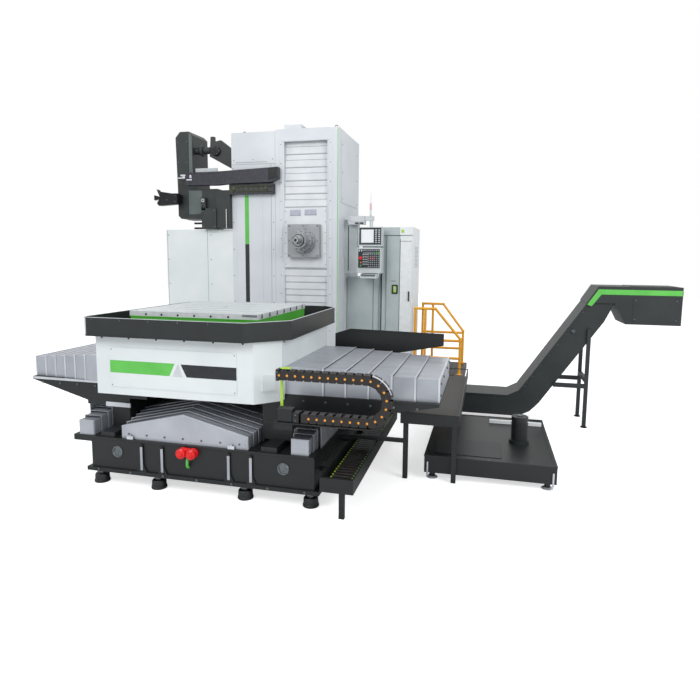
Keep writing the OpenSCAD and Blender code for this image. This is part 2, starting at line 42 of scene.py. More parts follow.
# camera, at the photograph's place
cameraLook = {"place": (1.39, -7.232, 2.326), "yaw": 13.91, "pitch": 6.825, "roll": 0.504, "lens": 28.31,
    "shiftY": -0.0356}


def aimCamera(look):
    # forward from yaw and pitch, then the right and up vectors turned by the roll
    yaw, pitch, roll = (radians(look[k]) for k in ("yaw", "pitch", "roll"))
    forward = Vector((-sin(yaw) * cos(pitch), cos(yaw) * cos(pitch), -sin(pitch)))
    right = Vector((cos(yaw), sin(yaw), 0))
    up = right.cross(forward)
    turnedRight = right * cos(roll) + up * sin(roll)
    turnedUp = up * cos(roll) - right * sin(roll)
    turn = Matrix((turnedRight, turnedUp, -forward)).transposed().to_4x4()
    data = bpy.data.cameras.new("photoCamera")
    data.lens, data.sensor_width, data.shift_y = look["lens"], 36, look["shiftY"]
    data.clip_end = 200
    camera = bpy.data.objects.new("photoCamera", data)
    camera.matrix_world = Matrix.Translation(look["place"]) @ turn
    bpy.context.scene.collection.objects.link(camera)
    bpy.context.scene.camera = camera


aimCamera(cameraLook)
print("camera set")


# finishes
def hexColour(code):
    # sRGB hex to the linear colour that the shader wants
    part = np.array([int(code[i:i + 2], 16) / 255 for i in (1, 3, 5)])
    linear = np.where(part <= 0.04045, part / 12.92, ((part + 0.055) / 1.055) ** 2.4)
    return (*linear.tolist(), 1.0)


def newMaterial(name):
    material = bpy.data.materials.new(name)
    material.use_nodes = True
    tree = material.node_tree
    shader = tree.nodes["Principled BSDF"]
    place = tree.nodes.new("ShaderNodeTexCoord").outputs["Object"]
    return material, tree, shader, place


def cloudy(tree, place, colours, scale, detail=4, stretch=(1, 1, 1)):
    # noise on Object coordinates, through a ramp of colours from its low to its high values
    mapping = tree.nodes.new("ShaderNodeMapping")
    mapping.inputs["Scale"].default_value = stretch
    tree.links.new(place, mapping.inputs["Vector"])
    noise = tree.nodes.new("ShaderNodeTexNoise")
    noise.inputs["Scale"].default_value = scale
    noise.inputs["Detail"].default_value = detail
    tree.links.new(mapping.outputs["Vector"], noise.inputs["Vector"])
    ramp = tree.nodes.new("ShaderNodeValToRGB")
    low, high = ramp.color_ramp.elements
    low.position, high.position = 0.3, 0.7
    low.color, high.color = hexColour(colours[0]), hexColour(colours[1])
    tree.links.new(noise.outputs["Fac"], ramp.inputs["Fac"])
    return ramp.outputs["Color"], noise.outputs["Fac"]


def bumpy(tree, shader, height, strength, distance):
    bump = tree.nodes.new("ShaderNodeBump")
    bump.inputs["Strength"].default_value = strength
    bump.inputs["Distance"].default_value = distance
    tree.links.new(height, bump.inputs["Height"])
    tree.links.new(bump.outputs["Normal"], shader.inputs["Normal"])


def paintFinish(name, colours, rough, metal=0.0, scale=3.0, grain=180.0, depth=0.0004, stretch=(1, 1, 1)):
    # a coat with a slow drift of tone and a fine orange peel or brushed grain
    material, tree, shader, place = newMaterial(name)
    colour, _ = cloudy(tree, place, colours, scale, 5, stretch)
    tree.links.new(colour, shader.inputs["Base Color"])
    shader.inputs["Roughness"].default_value = rough
    shader.inputs["Metallic"].default_value = metal
    _, fine = cloudy(tree, place, colours, grain, 2, stretch)
    bumpy(tree, shader, fine, 0.35, depth)
    return material


def splitFinish(name, axis, level, below, above, rough, metal=0.0):
    # one coat below a level on an axis and another above it, both with their own drift
    material, tree, shader, place = newMaterial(name)
    split = tree.nodes.new("ShaderNodeSeparateXYZ")
    tree.links.new(place, split.inputs["Vector"])
    step = tree.nodes.new("ShaderNodeMath")
    step.operation = "GREATER_THAN"
    step.inputs[1].default_value = level
    tree.links.new(split.outputs[axis], step.inputs[0])
    mix = tree.nodes.new("ShaderNodeMix")
    mix.data_type = "RGBA"
    tree.links.new(step.outputs[0], mix.inputs["Factor"])
    tree.links.new(cloudy(tree, place, below, 3)[0], mix.inputs["A"])
    high, fine = cloudy(tree, place, above, 14)
    tree.links.new(high, mix.inputs["B"])
    tree.links.new(mix.outputs["Result"], shader.inputs["Base Color"])
    shader.inputs["Roughness"].default_value = rough
    shader.inputs["Metallic"].default_value = metal
    bumpy(tree, shader, fine, 0.25, 0.0005)
    return material


finish = {
    "castBlack": paintFinish("castBlackPaint", ("#0b0f10", "#14191a"), 0.45, 0, 2.5, 90, 0.0015),
    "darkSheet": paintFinish("darkSheetPaint", ("#14191b", "#1d2325"), 0.5, 0, 3, 160, 0.0004),
    "chainTray": paintFinish("chainShelfPaint", ("#080a0c", "#101315"), 0.45, 0, 3, 160, 0.0004),
    "trayPaint": paintFinish("chipTrayPaint", ("#15191b", "#1f2426"), 0.42, 0, 3, 160, 0.0004),
    "whitePaint": paintFinish("housingWhitePaint", ("#d9dfe0", "#e3e8e8"), 0.42, 0, 2, 200, 0.0003),
    "columnPaint": paintFinish("columnPaint", ("#cfd4d8", "#dde1e4"), 0.5, 0, 1.2, 160, 0.0004),
    "louvrePaint": paintFinish("louvrePaint", ("#d6dade", "#e4e7e9"), 0.45, 0, 4, 200, 0.0003),
    "coverSteel": paintFinish("coverSteel", ("#a6aab2", "#bcc0c7"), 0.36, 0.55, 2.2, 240, 0.0004, (1, 6, 1)),
    # pale steel for the lips; the same finish makes the painted highlight on the chain's outer bend
    "lipAndHighlight": paintFinish("paleLipSteelAndHighlight", ("#c2c6cc", "#d8dbdf"), 0.3, 0.45, 6, 260, 0.0003),
    "spindleSteel": paintFinish("spindleSteel", ("#8c9092", "#a9adae"), 0.3, 0.7, 6, 300, 0.0003),
    "spindleFace": paintFinish("spindleFacePaint", ("#8f9295", "#a2a5a7"), 0.4, 0.35, 5, 200, 0.0004),
    # dark steel, also the flat discs of painted shade that stand for the table's holes
    "darkSteelAndShade": paintFinish("blackedSteelAndShade", ("#0f1113", "#1a1d1f"), 0.35, 0.4, 8, 260, 0.0003),
    "boltSteel": paintFinish("boltSteel", ("#5a6063", "#7c8285"), 0.35, 0.8, 40, 600, 0.0001),
    "railYellow": paintFinish("railYellowPaint", ("#e99d10", "#f5b11f"), 0.36, 0, 5, 200, 0.0003),
    "greenPaint": paintFinish("greenPaint", ("#58b84a", "#66c554"), 0.4, 0, 5, 200, 0.0003),
    "limePaint": paintFinish("limePaint", ("#a4cf3a", "#b5da4a"), 0.4, 0, 5, 200, 0.0003),
    "redPlastic": paintFinish("redCapPlastic", ("#d80f10", "#ee1a18"), 0.35, 0, 9, 200, 0.0002),
    "cabinetGrey": paintFinish("cabinetGreyPaint", ("#aab5b5", "#bac4c4"), 0.5, 0, 2, 160, 0.0004),
    "cabinetWhite": paintFinish("cabinetWhitePaint", ("#e4e8e8", "#eef1f1"), 0.5, 0, 2, 160, 0.0004),
    "pendantGrey": paintFinish("pendantGreyPaint", ("#bcc3c4", "#cdd3d4"), 0.45, 0, 5, 200, 0.0003),
    # black of the keypad, prints and joints, also the painted shade in the table's slots and in a groove on
    # the pendant arm
    "darkKeysAndShade": paintFinish("keypadBlackAndShade", ("#14171b", "#202429"), 0.5, 0, 20, 300, 0.0002),
    "chainPlastic": paintFinish("chainBrownPlastic", ("#15110f", "#201a17"), 0.42, 0, 30, 400, 0.0002),
    "pinOrange": paintFinish("pinOrange", ("#e08a1c", "#f2a83a"), 0.4, 0, 40, 400, 0.0001),
    "conveyorSlate": paintFinish("conveyorSlatePaint", ("#171d1e", "#222829"), 0.5, 0, 3, 160, 0.0005),
    "guardWhite": paintFinish("guardWhitePaint", ("#e0e7e6", "#ebefee"), 0.42, 0, 2, 200, 0.0003),
    "changerGreen": paintFinish("changerDarkPaint", ("#1c2221", "#2a302f"), 0.45, 0, 4, 180, 0.0004),
    "beamPurple": paintFinish("beamPlastic", ("#22212c", "#31303d"), 0.45, 0, 20, 120, 0.002),
    "oliveMetal": paintFinish("oliveCasting", ("#333a28", "#4a523b"), 0.5, 0.2, 14, 120, 0.002),
    "lightGrey": paintFinish("lightGreyPaint", ("#c3c7ca", "#d3d6d8"), 0.45, 0, 4, 200, 0.0003),
    "amberLens": paintFinish("amberLens", ("#e0702a", "#ee8a3a"), 0.25, 0, 20, 260, 0.0001),
    "screenPale": paintFinish("screenPicture", ("#eef2f4", "#f8fafb"), 0.3, 0, 9, 60, 0.0001),
    # grey of the seams, also the painted shadow lines under the shutter slats
    "seamAndShadowGrey": paintFinish("seamAndShadowGrey", ("#7f878b", "#90989c"), 0.6, 0, 20, 200, 0.0002),
    # a paler copy of the changer's dark paint: painted highlight on its facets
    "changerPaintedHighlight": paintFinish("changerPaintedLitFacet", ("#4f5a58", "#606b69"), 0.45, 0, 4, 180, 0.0004),
    "slateKeys": paintFinish("slateKeys", ("#7b8288", "#959ba0"), 0.5, 0, 20, 300, 0.0002),
    "mastGrey": paintFinish("mastPaleGrey", ("#d9dbdc", "#e6e7e8"), 0.4, 0, 20, 300, 0.0001),
    "pinkLens": paintFinish("pinkLens", ("#e6b7b4", "#efc9c6"), 0.3, 0, 20, 300, 0.0001),
    "plateLilac": paintFinish("plateLilac", ("#a9acbb", "#b9bcc9"), 0.5, 0, 20, 300, 0.0001),
    "orangePaint": paintFinish("orangePaint", ("#d8681a", "#e87c26"), 0.4, 0, 12, 220, 0.0003),
}
doorFinish = splitFinish("doorFinish", "X", 0.025, ("#aab5b5", "#bac4c4"), ("#e4e8e8", "#eef1f1"), 0.5)
tableFinish = splitFinish("tableFinish", "Z", 1.74, ("#52b53c", "#62c54a"), ("#c9cfcf", "#dde1e1"), 0.38,
    0.1)

finishNodes = {
    "castBlack": "bed levelling_feet saddle saddle_splash_guard operator_platform coolant_tank",
    "darkSheet": "bed_slideways side_chip_tray coolant_pump",
    "redPlastic": "front_fittings",
    "chainTray": "side_chain_trough saddle_chain_tray",
    "coverSteel": "saddle_cover_ends saddle_way_covers way_cover_fixed table_base_covers way_cover_1 "
        "table_cover_1 way_cover_2 table_cover_2 way_cover_3 table_cover_3 way_cover_4 table_cover_4",
    "whitePaint": "table_base_housing table_base_panel",
    "trayPaint": "chip_tray",
    "columnPaint": "column column_left_cover",
    "louvrePaint": "column_shutter_fixed headstock headstock_shutter shutter_1 shutter_2 shutter_3 "
        "shutter_4",
    "spindleFace": "spindle_housing",
    "spindleSteel": "quill boring_spindle",
    "changerGreen": "changer_tower changer_gearbox changer_bracket",
    "beamPurple": "changer_beam",
    "darkSteelAndShade": "changer_gripper",
    "guardWhite": "sheet_guard",
    "pendantGrey": "pendant_arm operator_pendant",
    "cabinetGrey": "cabinet cabinet_door",
    "railYellow": "platform_rail_front platform_rail_rear",
    "conveyorSlate": "conveyor_channel conveyor_head conveyor_legs",
    "chainPlastic": "table_chain",
}
nodeFinish = {name: key for key, names in finishNodes.items() for name in names.split()}


def paintNode(name, material):
    mesh = nodes[name].data
    if not mesh.materials:
        mesh.materials.append(material)
    for slot in nodes[name].material_slots:
        slot.material = material


for name in nodes:
    own = {"rotary_table": tableFinish, "cabinet_door": doorFinish, "cabinet": doorFinish}
    paintNode(name, own.get(name) or finish[nodeFinish[name]])
print("nodes painted")


# surfaces, each a pair of a vertex array and a list of faces
def gridFaces(rows, columns, closed=False):
    # quads between neighbours of a grid whose columns may run round
    last = columns if closed else columns - 1
    r, c = np.meshgrid(np.arange(rows - 1), np.arange(last), indexing="ij")
    n = (c + 1) % columns
    quads = np.stack([r * columns + c, r * columns + n, (r + 1) * columns + n, (r + 1) * columns + c], -1)
    return quads.reshape(-1, 4).tolist()


def carried(loops):
    # a closed profile at each station of a path, shape (stations, points, 3), with both ends capped
    loops = np.asarray(loops, float)
    rows, columns = loops.shape[:2]
    faces = gridFaces(rows, columns, True)
    faces += [list(range(columns))[::-1], [(rows - 1) * columns + i for i in range(columns)]]
    return loops.reshape(-1, 3), faces


def flatTo(axis, flat, along):
    # a flat outline (n, 2) at a height along an axis: x carries (y, z), y (z, x) and z (x, y)
    order = {"x": (2, 0, 1), "y": (1, 2, 0), "z": (0, 1, 2)}[axis]
    full = np.concatenate([flat, np.full((len(flat), 1), along)], 1)
    return full[:, order]


def bar(low, high, edge=0.003):
    # a box whose corners and end edges are cut by the edge
    low, high = np.asarray(low, float), np.asarray(high, float)
    edge = min(edge, 0.45 * float((high - low).min()))
    middle, half = (low + high) / 2, (high - low) / 2
    turn = np.concatenate([(q * pi / 2, (q + 1) * pi / 2) for q in range(4)])
    signs = np.repeat(np.array([[1, 1], [-1, 1], [-1, -1], [1, -1]], float), 2, axis=0)
    reach = np.stack([np.cos(turn), np.sin(turn)], 1)
    loops = []
    for z, inset in ((low[2], edge), (low[2] + edge, 0), (high[2] - edge, 0), (high[2], edge)):
        flat = signs * (half[:2] - edge) + reach * max(edge - inset, 1e-5)
        loops.append(flatTo("z", flat + middle[:2], z))
    return carried(loops)


def slab(outline, axis, start, end, edge=0.0):
    # a flat outline carried along an axis; with an edge its ends are drawn in towards the middle
    outline = np.asarray(outline, float)
    area = np.roll(outline, -1, 0)
    if (outline[:, 0] * area[:, 1] - area[:, 0] * outline[:, 1]).sum() < 0:
        outline = outline[::-1]
    start, end = min(start, end), max(start, end)
    if not edge:
        return carried([flatTo(axis, outline, start), flatTo(axis, outline, end)])
    into = outline - np.roll(outline, 1, 0)
    into /= np.linalg.norm(into, axis=1, keepdims=True)
    out = np.roll(into, -1, 0)
    side = np.stack([-(into + out)[:, 1], (into + out)[:, 0]], 1)
    side /= np.maximum((side * np.stack([-into[:, 1], into[:, 0]], 1)).sum(1, keepdims=True), 0.2)
    drawn = outline + side * edge
    return carried([flatTo(axis, drawn, start), flatTo(axis, outline, start + edge),
            flatTo(axis, outline, end - edge), flatTo(axis, drawn, end)])


def turned(profile, centre=(0, 0, 0), axis="z", count=24):
    # radius and height pairs turned round an axis; the ends are capped
    profile = np.asarray(profile, float)
    angle = np.linspace(0, 2 * pi, count, endpoint=False)
    loops = [flatTo(axis, np.stack([np.cos(angle), np.sin(angle)], 1) * max(r, 1e-4), h)
        for r, h in profile]
    verts, faces = carried(loops)
    if profile[-1][1] < profile[0][1]:
        faces = [f[::-1] for f in faces]
    return verts + np.asarray(centre, float), faces


def tube(path, radius, sides=12):
    # a circle carried along a path, turned with it without twist
    path = np.asarray(path, float)
    heading = np.gradient(path, axis=0)
    heading /= np.linalg.norm(heading, axis=1, keepdims=True)
    side = np.cross(heading[0], (0, 0, 1) if abs(heading[0][2]) < 0.9 else (1, 0, 0))
    sideways = []
    for h in heading:
        side = side - h * side.dot(h)
        side = side / np.linalg.norm(side)
        sideways.append(side)
    sideways = np.array(sideways)
    upward = np.cross(heading, sideways)
    angle = np.linspace(0, 2 * pi, sides, endpoint=False)
    radius = np.broadcast_to(radius, len(path))[:, None, None]
    loops = path[:, None] + radius * (sideways[:, None] * np.cos(angle)[:, None]
        + upward[:, None] * np.sin(angle)[:, None])
    verts, faces = carried(loops)
    return verts, [f[::-1] for f in faces]


def smoothPath(points, count=40):
    # a Catmull-Rom curve through the points
    p = np.asarray(points, float)
    p = np.concatenate([[2 * p[0] - p[1]], p, [2 * p[-1] - p[-2]]])
    t = np.linspace(0, len(p) - 3 - 1e-9, count)
    i = t.astype(int)
    f = (t - i)[:, None]
    a, b, c, d = p[i], p[i + 1], p[i + 2], p[i + 3]
    return 0.5 * (2 * b + (c - a) * f + (2 * a - 5 * b + 4 * c - d) * f ** 2
        + (3 * b - a - 3 * c + d) * f ** 3)


def joined(shapes):
    # shapes as one; one that is inside out by its signed volume is turned
    verts, faces, start = [], [], 0
    for v, f in shapes:
        tri = v[np.array([(face[0], a, b) for face in f for a, b in zip(face[1:], face[2:])])]
        if np.einsum("ij,ij->", tri[:, 0], np.cross(tri[:, 1], tri[:, 2])) < 0:
            f = [face[::-1] for face in f]
        verts.append(v)
        faces += [[i + start for i in face] for face in f]
        start += len(v)
    return np.concatenate(verts), faces


def repeated(shape, places):
    # one shape at many places, the whole pattern as one array
    v, f = shape
    places = np.asarray(places, float)
    verts = (places[:, None] + v[None]).reshape(-1, 3)
    return verts, [[i + k * len(v) for i in face] for k in range(len(places)) for face in f]


def turnedTo(shape, axis, degrees, about=(0, 0, 0)):
    v, f = shape
    m = np.array(Matrix.Rotation(radians(degrees), 3, axis))
    about = np.asarray(about, float)
    return (v - about) @ m.T + about, f


def makePiece(name, body, parts, smooth=35):
    # parts is a list of (finish, shapes); every shape lands in one mesh with its finish's slot
    mesh = bpy.data.meshes.new(name)
    shapes, slots = [], []
    for slot, (material, group) in enumerate(parts):
        mesh.materials.append(material if not isinstance(material, str) else finish[material])
        v, f = joined(group)
        shapes.append((v, f))
        slots += [slot] * len(f)
    verts, faces = joined(shapes)
    mesh.from_pydata((verts + layout).tolist(), [], faces)
    mesh.polygons.foreach_set("material_index", np.array(slots, dtype=np.int32))
    mesh.polygons.foreach_set("use_smooth", np.ones(len(faces), dtype=bool))
    mesh.set_sharp_from_angle(angle=radians(smooth))
    mesh.update()
    piece = bpy.data.objects.new(name, mesh)
    bpy.context.scene.collection.objects.link(piece)
    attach(piece, body)
    return piece


def bolts(places, axis="y", radius=0.009, height=0.006, out=-1):
    # socket screws: a turned head with a sunk socket, repeated
    r, h = radius, height * out
    head = turned([(r, 0), (r, h * 0.8), (r * 0.85, h), (r * 0.5, h), (r * 0.45, h * 0.4)], (0, 0, 0),
        axis, 12)
    return repeated(head, places)


def between(a, b, t):
    return a + (b - a) * t


# bed front: twin red caps with a green elbow, foot pads with nuts, rings in the lifting holes, rib edges
bedFront = {"capX": (-0.054, 0.054), "capZ": 0.43, "bedX": 0.09, "half": 1.2, "length": 4.95, "top": 0.5}


def capShape(x):
    return turned([(0.05, 0.0), (0.05, -0.03), (0.046, -0.036), (0.046, -0.055), (0.05, -0.06),
            (0.05, -0.072), (0.034, -0.082), (0.03, -0.092), (0.012, -0.095)], (x, 0, bedFront["capZ"]),
        "y", 24)


elbow = smoothPath([(0.0, -0.012, 0.385), (0.0, -0.034, 0.36), (0.003, -0.042, 0.33), (0.0, -0.036, 0.3),
        (-0.002, -0.016, 0.282), (-0.002, -0.004, 0.278)], 18)
piece = makePiece("twin_caps", "machine",
    [("redPlastic",
            [capShape(x) for x in bedFront["capX"]] + [bar((-0.05, -0.03, 0.385), (0.05, 0, 0.475), 0.006)]),
        ("greenPaint", [tube(elbow, 0.013)]),
        ("boltSteel", [turned([(0.022, 0.0), (0.022, -0.016), (0.014, -0.019)], (0, -0.006, 0.36), "y", 6)])])
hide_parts("front_fittings")

footPlaces = [(bedFront["bedX"] + x, 0.07 + (bedFront["length"] - 0.17) * i / 4, 0)
    for x in (-1.145, -0.475, 0.475, 1.145) for i in range(5)]
footPiece = makePiece("foot_pads", "machine",
    [("castBlack",
            [repeated(turned([(0.075, 0), (0.078, 0.004), (0.078, 0.02), (0.072, 0.026), (0.07, 0.078),
                            (0.064, 0.088), (0.04, 0.09)], count=20), footPlaces)]),
        ("boltSteel",
            [repeated(turned([(0.03, 0.086), (0.03, 0.105)], count=12), footPlaces),
                repeated(turned([(0.05, 0.104), (0.052, 0.108), (0.052, 0.134), (0.048, 0.139)], count=6), footPlaces)])])
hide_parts("levelling_feet")
holeRings = [turned([(0.058, 0.0), (0.058, -0.007), (0.055, -0.01), (0.046, -0.01), (0.042, -0.004),
            (0.0415, 0.02)], (x, 0, 0.36), "y", 24) for x in (-0.805, 0.985)]
ribX = [bedFront["bedX"] + x for x in (-0.61, -0.38, 0.34, 0.57)]
flangeBolts = [(x, -0.02, 0.16) for x in np.linspace(-1.02, 1.2, 7)]
makePiece("bed_trim", "machine",
    [("castBlack",
            [slab([(0.18, x + s * 0.014), (0.26, x + s * 0.014), (0.18, x + s * 0.052)], "y", -0.016, 0.0)
                for x in ribX for s in (-1, 1)]
            + [bar((-1.108, -0.007, 0.478), (1.288, 0.0, 0.4995), 0.003)]),
        ("coverSteel", [bar((x - 0.0135, -0.0215, 0.2), (x + 0.0135, -0.0195, 0.44), 0.001) for x in ribX]),
        ("boltSteel", holeRings + [bolts(flangeBolts, "y", 0.013, 0.009)])])
print("bed dressed")

# way covers: bright lips on every step of the gabled cover and of the two side covers
cover = {"nest": 0.012, "half": 0.69, "eave": 0.625, "apex": 0.79, "low": 0.5003, "lip": 0.004,
    "band": 0.016, "middle": -0.075, "sides": (-1.185, 1.14)}


def gableBand(k, y0, y1, grow):
    # the gable's outline as a thin band, its outer side grown by a lip, carried along Y
    h, e, a = (cover[n] + cover["nest"] * k for n in ("half", "eave", "apex"))
    g = grow
    outer = [(cover["low"], h + g), (e + g * 0.9, h + g), (a + g, 0), (e + g * 0.9, -h - g),
        (cover["low"], -h - g)]
    inner = [(cover["low"], -h + 0.004), (e - 0.004, -h + 0.004), (a - 0.004, 0), (e - 0.004, h - 0.004),
        (cover["low"], h - 0.004)]
    return slab([(z, x + cover["middle"]) for z, x in outer + inner], "y", y0, y1)


def sideBand(k, c, y0, y1, grow):
    w, t = 0.085 + 0.010 * k, 0.650 + 0.022 * k
    g, low = grow, cover["low"]
    outer = [(low, c + w + g), (t + g, c + w + g), (t + g, c - w - g), (low, c - w - g)]
    inner = [(low, c - w + 0.004), (t - 0.004, c - w + 0.004), (t - 0.004, c + w - 0.004),
        (low, c + w - 0.004)]
    return slab(outer + inner, "y", y0, y1)


def wayCoverLips(k):
    front = between(0.030, 0.510, k / 5)
    rear = between(3.500, 1.600, k / 5)
    band, lip = cover["band"], cover["lip"]
    shapes = [gableBand(k, front, front + band, lip), gableBand(k, rear - band, rear, lip)]
    sideFront = front if k < 5 else 0.256
    for side in cover["sides"]:
        shapes += [sideBand(k, side, sideFront, sideFront + band, lip * 0.6),
            sideBand(k, side, rear - band, rear, lip * 0.6)]
    return shapes


wayBodies = ["machine"] + [f"way_cover_{k}" for k in range(1, 5)] + ["saddle"]
for k, body in enumerate(wayBodies):
    shapes = wayCoverLips(k)
    makePiece(f"way_cover_lips_{k}", body, [("lipAndHighlight", shapes)])


def gableFace():
    h, e, a = cover["half"] - 0.02, cover["eave"] - 0.006, cover["apex"] - 0.02
    flat = [(0.52, h), (e, h), (a, 0), (e, -h), (0.52, -h)]
    return slab([(z, x + cover["middle"]) for z, x in flat], "y", 0.0215, 0.0245, 0.001)


makePiece("gable_end_plate", "machine",
    [("coverSteel", [gableFace()]),
        ("boltSteel", [bolts([(x, 0.0215, 0.55) for x in np.linspace(-0.68, 0.53, 7)], "y", 0.011, 0.006)])])
print("way covers dressed")

# table covers: a lip on the outer end of every section, screws on the end plates
tableCover = {"lip": 0.004, "band": 0.018, "y0": 0.25, "y1": 1.6, "top": 1.29, "low": 1.0203,
    "length": 0.390}


def tableRing(k, x0, x1, grow):
    i = cover["nest"] * (5 - k)
    a, b = tableCover["y0"] + i, tableCover["y1"] - i
    t, g, low = tableCover["top"] - i, grow, tableCover["low"]
    outer = [(a - g, low), (a - g, t + g), (b + g, t + g), (b + g, low)]
    inner = [(b - 0.004, low), (b - 0.004, t - 0.004), (a + 0.004, t - 0.004), (a + 0.004, low)]
    return slab(outer + inner, "x", x0, x1)


def tableCoverLips(k):
    right = between(2.010, 0.915, k / 5) + tableCover["length"]
    left = between(-1.650, -0.975, k / 5) - tableCover["length"]
    band, lip = tableCover["band"], tableCover["lip"]
    return [tableRing(k, right - band, right, lip), tableRing(k, left, left + band, lip)]


tableBodies = ["saddle"] + [f"table_cover_{k}" for k in range(1, 5)] + ["table_base"]
for k, body in enumerate(tableBodies):
    makePiece(f"table_cover_lips_{k}", body, [("lipAndHighlight", tableCoverLips(k))])
endStuds = [(x, y, z) for x in (2.4, -2.04)
    for y, z in ((0.36, 1.08), (0.36, 1.19), (0.7, 1.19), (1.15, 1.19), (1.5, 1.19), (1.5, 1.08))]
makePiece("cover_end_studs", "saddle",
    [("boltSteel",
            [bolts([p for p in endStuds if p[0] > 0], "x", 0.014, 0.012, 1),
                bolts([p for p in endStuds if p[0] < 0], "x", 0.014, 0.012)])])
print("table covers dressed")

# more surfaces for the fittings
def rounded(a0, b0, a1, b1, radius, steps=4):
    # a rectangle with round corners, as a flat outline
    turn = np.concatenate([np.linspace(q * pi / 2, (q + 1) * pi / 2, steps + 1) for q in range(4)])
    signs = np.repeat(np.array([[1, 1], [-1, 1], [-1, -1], [1, -1]], float), steps + 1, axis=0)
    half = np.array([(a1 - a0) / 2, (b1 - b0) / 2])
    corners = radius * np.stack([np.cos(turn), np.sin(turn)], 1)
    return signs * (half - radius) + corners + ((a0 + a1) / 2, (b0 + b1) / 2)


def plate(points, y0, y1, edge=0.0):
    # an outline given as (x, z), carried along Y
    return slab([(z, x) for x, z in points], "y", y0, y1, edge)


def ring(outline, profile, axis="z"):
    # a closed profile of (outward, height) pairs carried right round a flat outline, mitred at its corners
    outline, profile = np.asarray(outline, float), np.asarray(profile, float)
    step = outline - np.roll(outline, 1, 0)
    step /= np.linalg.norm(step, axis=1, keepdims=True)
    both = step + np.roll(step, -1, 0)
    side = np.stack([both[:, 1], -both[:, 0]], 1)
    side /= (side * np.stack([step[:, 1], -step[:, 0]], 1)).sum(1, keepdims=True)
    n, m = len(outline), len(profile)
    flat = outline[:, None] + side[:, None] * profile[None, :, :1]
    full = np.concatenate([flat, np.broadcast_to(profile[None, :, 1:], (n, m, 1))], 2).reshape(-1, 3)
    i, j = np.meshgrid(np.arange(n), np.arange(m), indexing="ij")
    k, l = (i + 1) % n, (j + 1) % m
    quads = np.stack([i * m + j, k * m + j, k * m + l, i * m + l], -1).reshape(-1, 4)
    order = {"x": (2, 0, 1), "y": (1, 2, 0), "z": (0, 1, 2)}[axis]
    return full[:, order], quads.tolist()


def circle(radius, count=32, middle=(0, 0)):
    angle = np.linspace(0, 2 * pi, count, endpoint=False)
    return np.stack([np.cos(angle), np.sin(angle)], 1) * radius + middle


def onCircle(radius, count, middle, y, phase=0.0):
    # places on a circle that faces the front
    angle = np.arange(count) * 2 * pi / count + phase
    return np.stack([middle[0] + radius * np.cos(angle), np.full(count, y),
            middle[1] + radius * np.sin(angle)], 1)


# cable chain: links along the loop, a pin at every joint, end blocks, and a pale strip of painted highlight
# on the outer bend
chain = {"x0": 1.005, "x1": 1.797, "mid": 1.1, "radius": 0.19, "half": 0.0445, "pitch": 0.076,
    "pins": 26, "near": -0.15, "far": -0.055}


def alongChain(shape, distance):
    # upper run, half a turn, lower run; a shape laid along X is turned about Y to each place
    distance = np.asarray(distance, float)
    run, radius = chain["x1"] - chain["x0"], chain["radius"]
    turn = np.clip((distance - run) / radius, 0, pi)
    x = np.where(distance < run, chain["x0"] + distance, chain["x1"] + radius * np.sin(turn))
    x = np.where(distance > run + pi * radius, chain["x1"] + run + pi * radius - distance, x)
    place = np.stack([x, 0 * x, chain["mid"] + radius * np.cos(turn)], 1)
    v, f = shape
    c, s = np.cos(turn)[:, None], np.sin(turn)[:, None]
    moved = [v[:, 0] * c + v[:, 2] * s, v[:, 1] + 0 * c, v[:, 2] * c - v[:, 0] * s]
    moved = np.stack(moved, -1) + place[:, None]
    return moved.reshape(-1, 3), [[i + k * len(v) for i in face] for k in range(len(place)) for face in f]


h, near, far = chain["half"], chain["near"], chain["far"]
pinAt = 0.002 + chain["pitch"] * np.arange(chain["pins"])
linkAt = pinAt + chain["pitch"] / 2
sidePlate = rounded(-h, -0.0365, h, 0.0365, 0.012)
linkShapes = [alongChain(slab(sidePlate, "y", a, a + 0.011, 0.002), linkAt) for a in (near, far - 0.011)]
linkShapes += [alongChain(bar((-0.026, near + 0.01, s * h - 0.0025), (0.026, far - 0.01, s * h + 0.0025),
            0.002), linkAt) for s in (-0.92, 0.92)]
linkShapes += [alongChain(turned([(0.024, near + 0.001), (0.024, near - 0.0015), (0.021, near - 0.003)],
            (0, 0, 0), "y", 16), pinAt)]
# a thin pale band over the outer bend: painted highlight
bendHighlightStrip = [(chain["x1"] + (chain["radius"] + h + g) * sin(a),
        chain["mid"] + (chain["radius"] + h + g) * cos(a))
    for g, turns in ((0.0005, np.linspace(0.25, 1.25, 12)), (0.0025, np.linspace(1.25, 0.25, 12)))
    for a in turns]
piece = makePiece("cable_chain", "saddle",
    [("chainPlastic", linkShapes),
        ("pinOrange",
            [alongChain(turned([(0.0105, near - 0.002), (0.0105, near - 0.005), (0.008, near - 0.0065)],
                        (0, 0, 0), "y", 12), pinAt)]),
        # pale strip over the outer bend: painted highlight
        ("lipAndHighlight", [plate(bendHighlightStrip, near + 0.004, near + 0.04)]),
        ("chainTray",
            [bar((0.972, near, 1.238), (1.004, far, 1.342), 0.003),
                bar((1.13, near, 0.8625), (1.19, far, 0.955), 0.003),
                bar((0.98, -0.145, 0.8625), (1.128, -0.053, 0.985), 0.006)]),
        ("boltSteel",
            [
                bolts([(0.988, near, 1.262), (0.988, near, 1.318), (1.16, near, 0.885),
                        (1.16, near, 0.935)], "y", 0.007, 0.004)]),
        ("limePaint",
            [bar((0.984, -0.062, 0.985), (1.01, -0.053, 1.24), 0.002),
                bar((1.01, -0.132, 1.3435), (1.1, -0.075, 1.356), 0.005)])])
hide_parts("table_chain")
print("cable chain made")

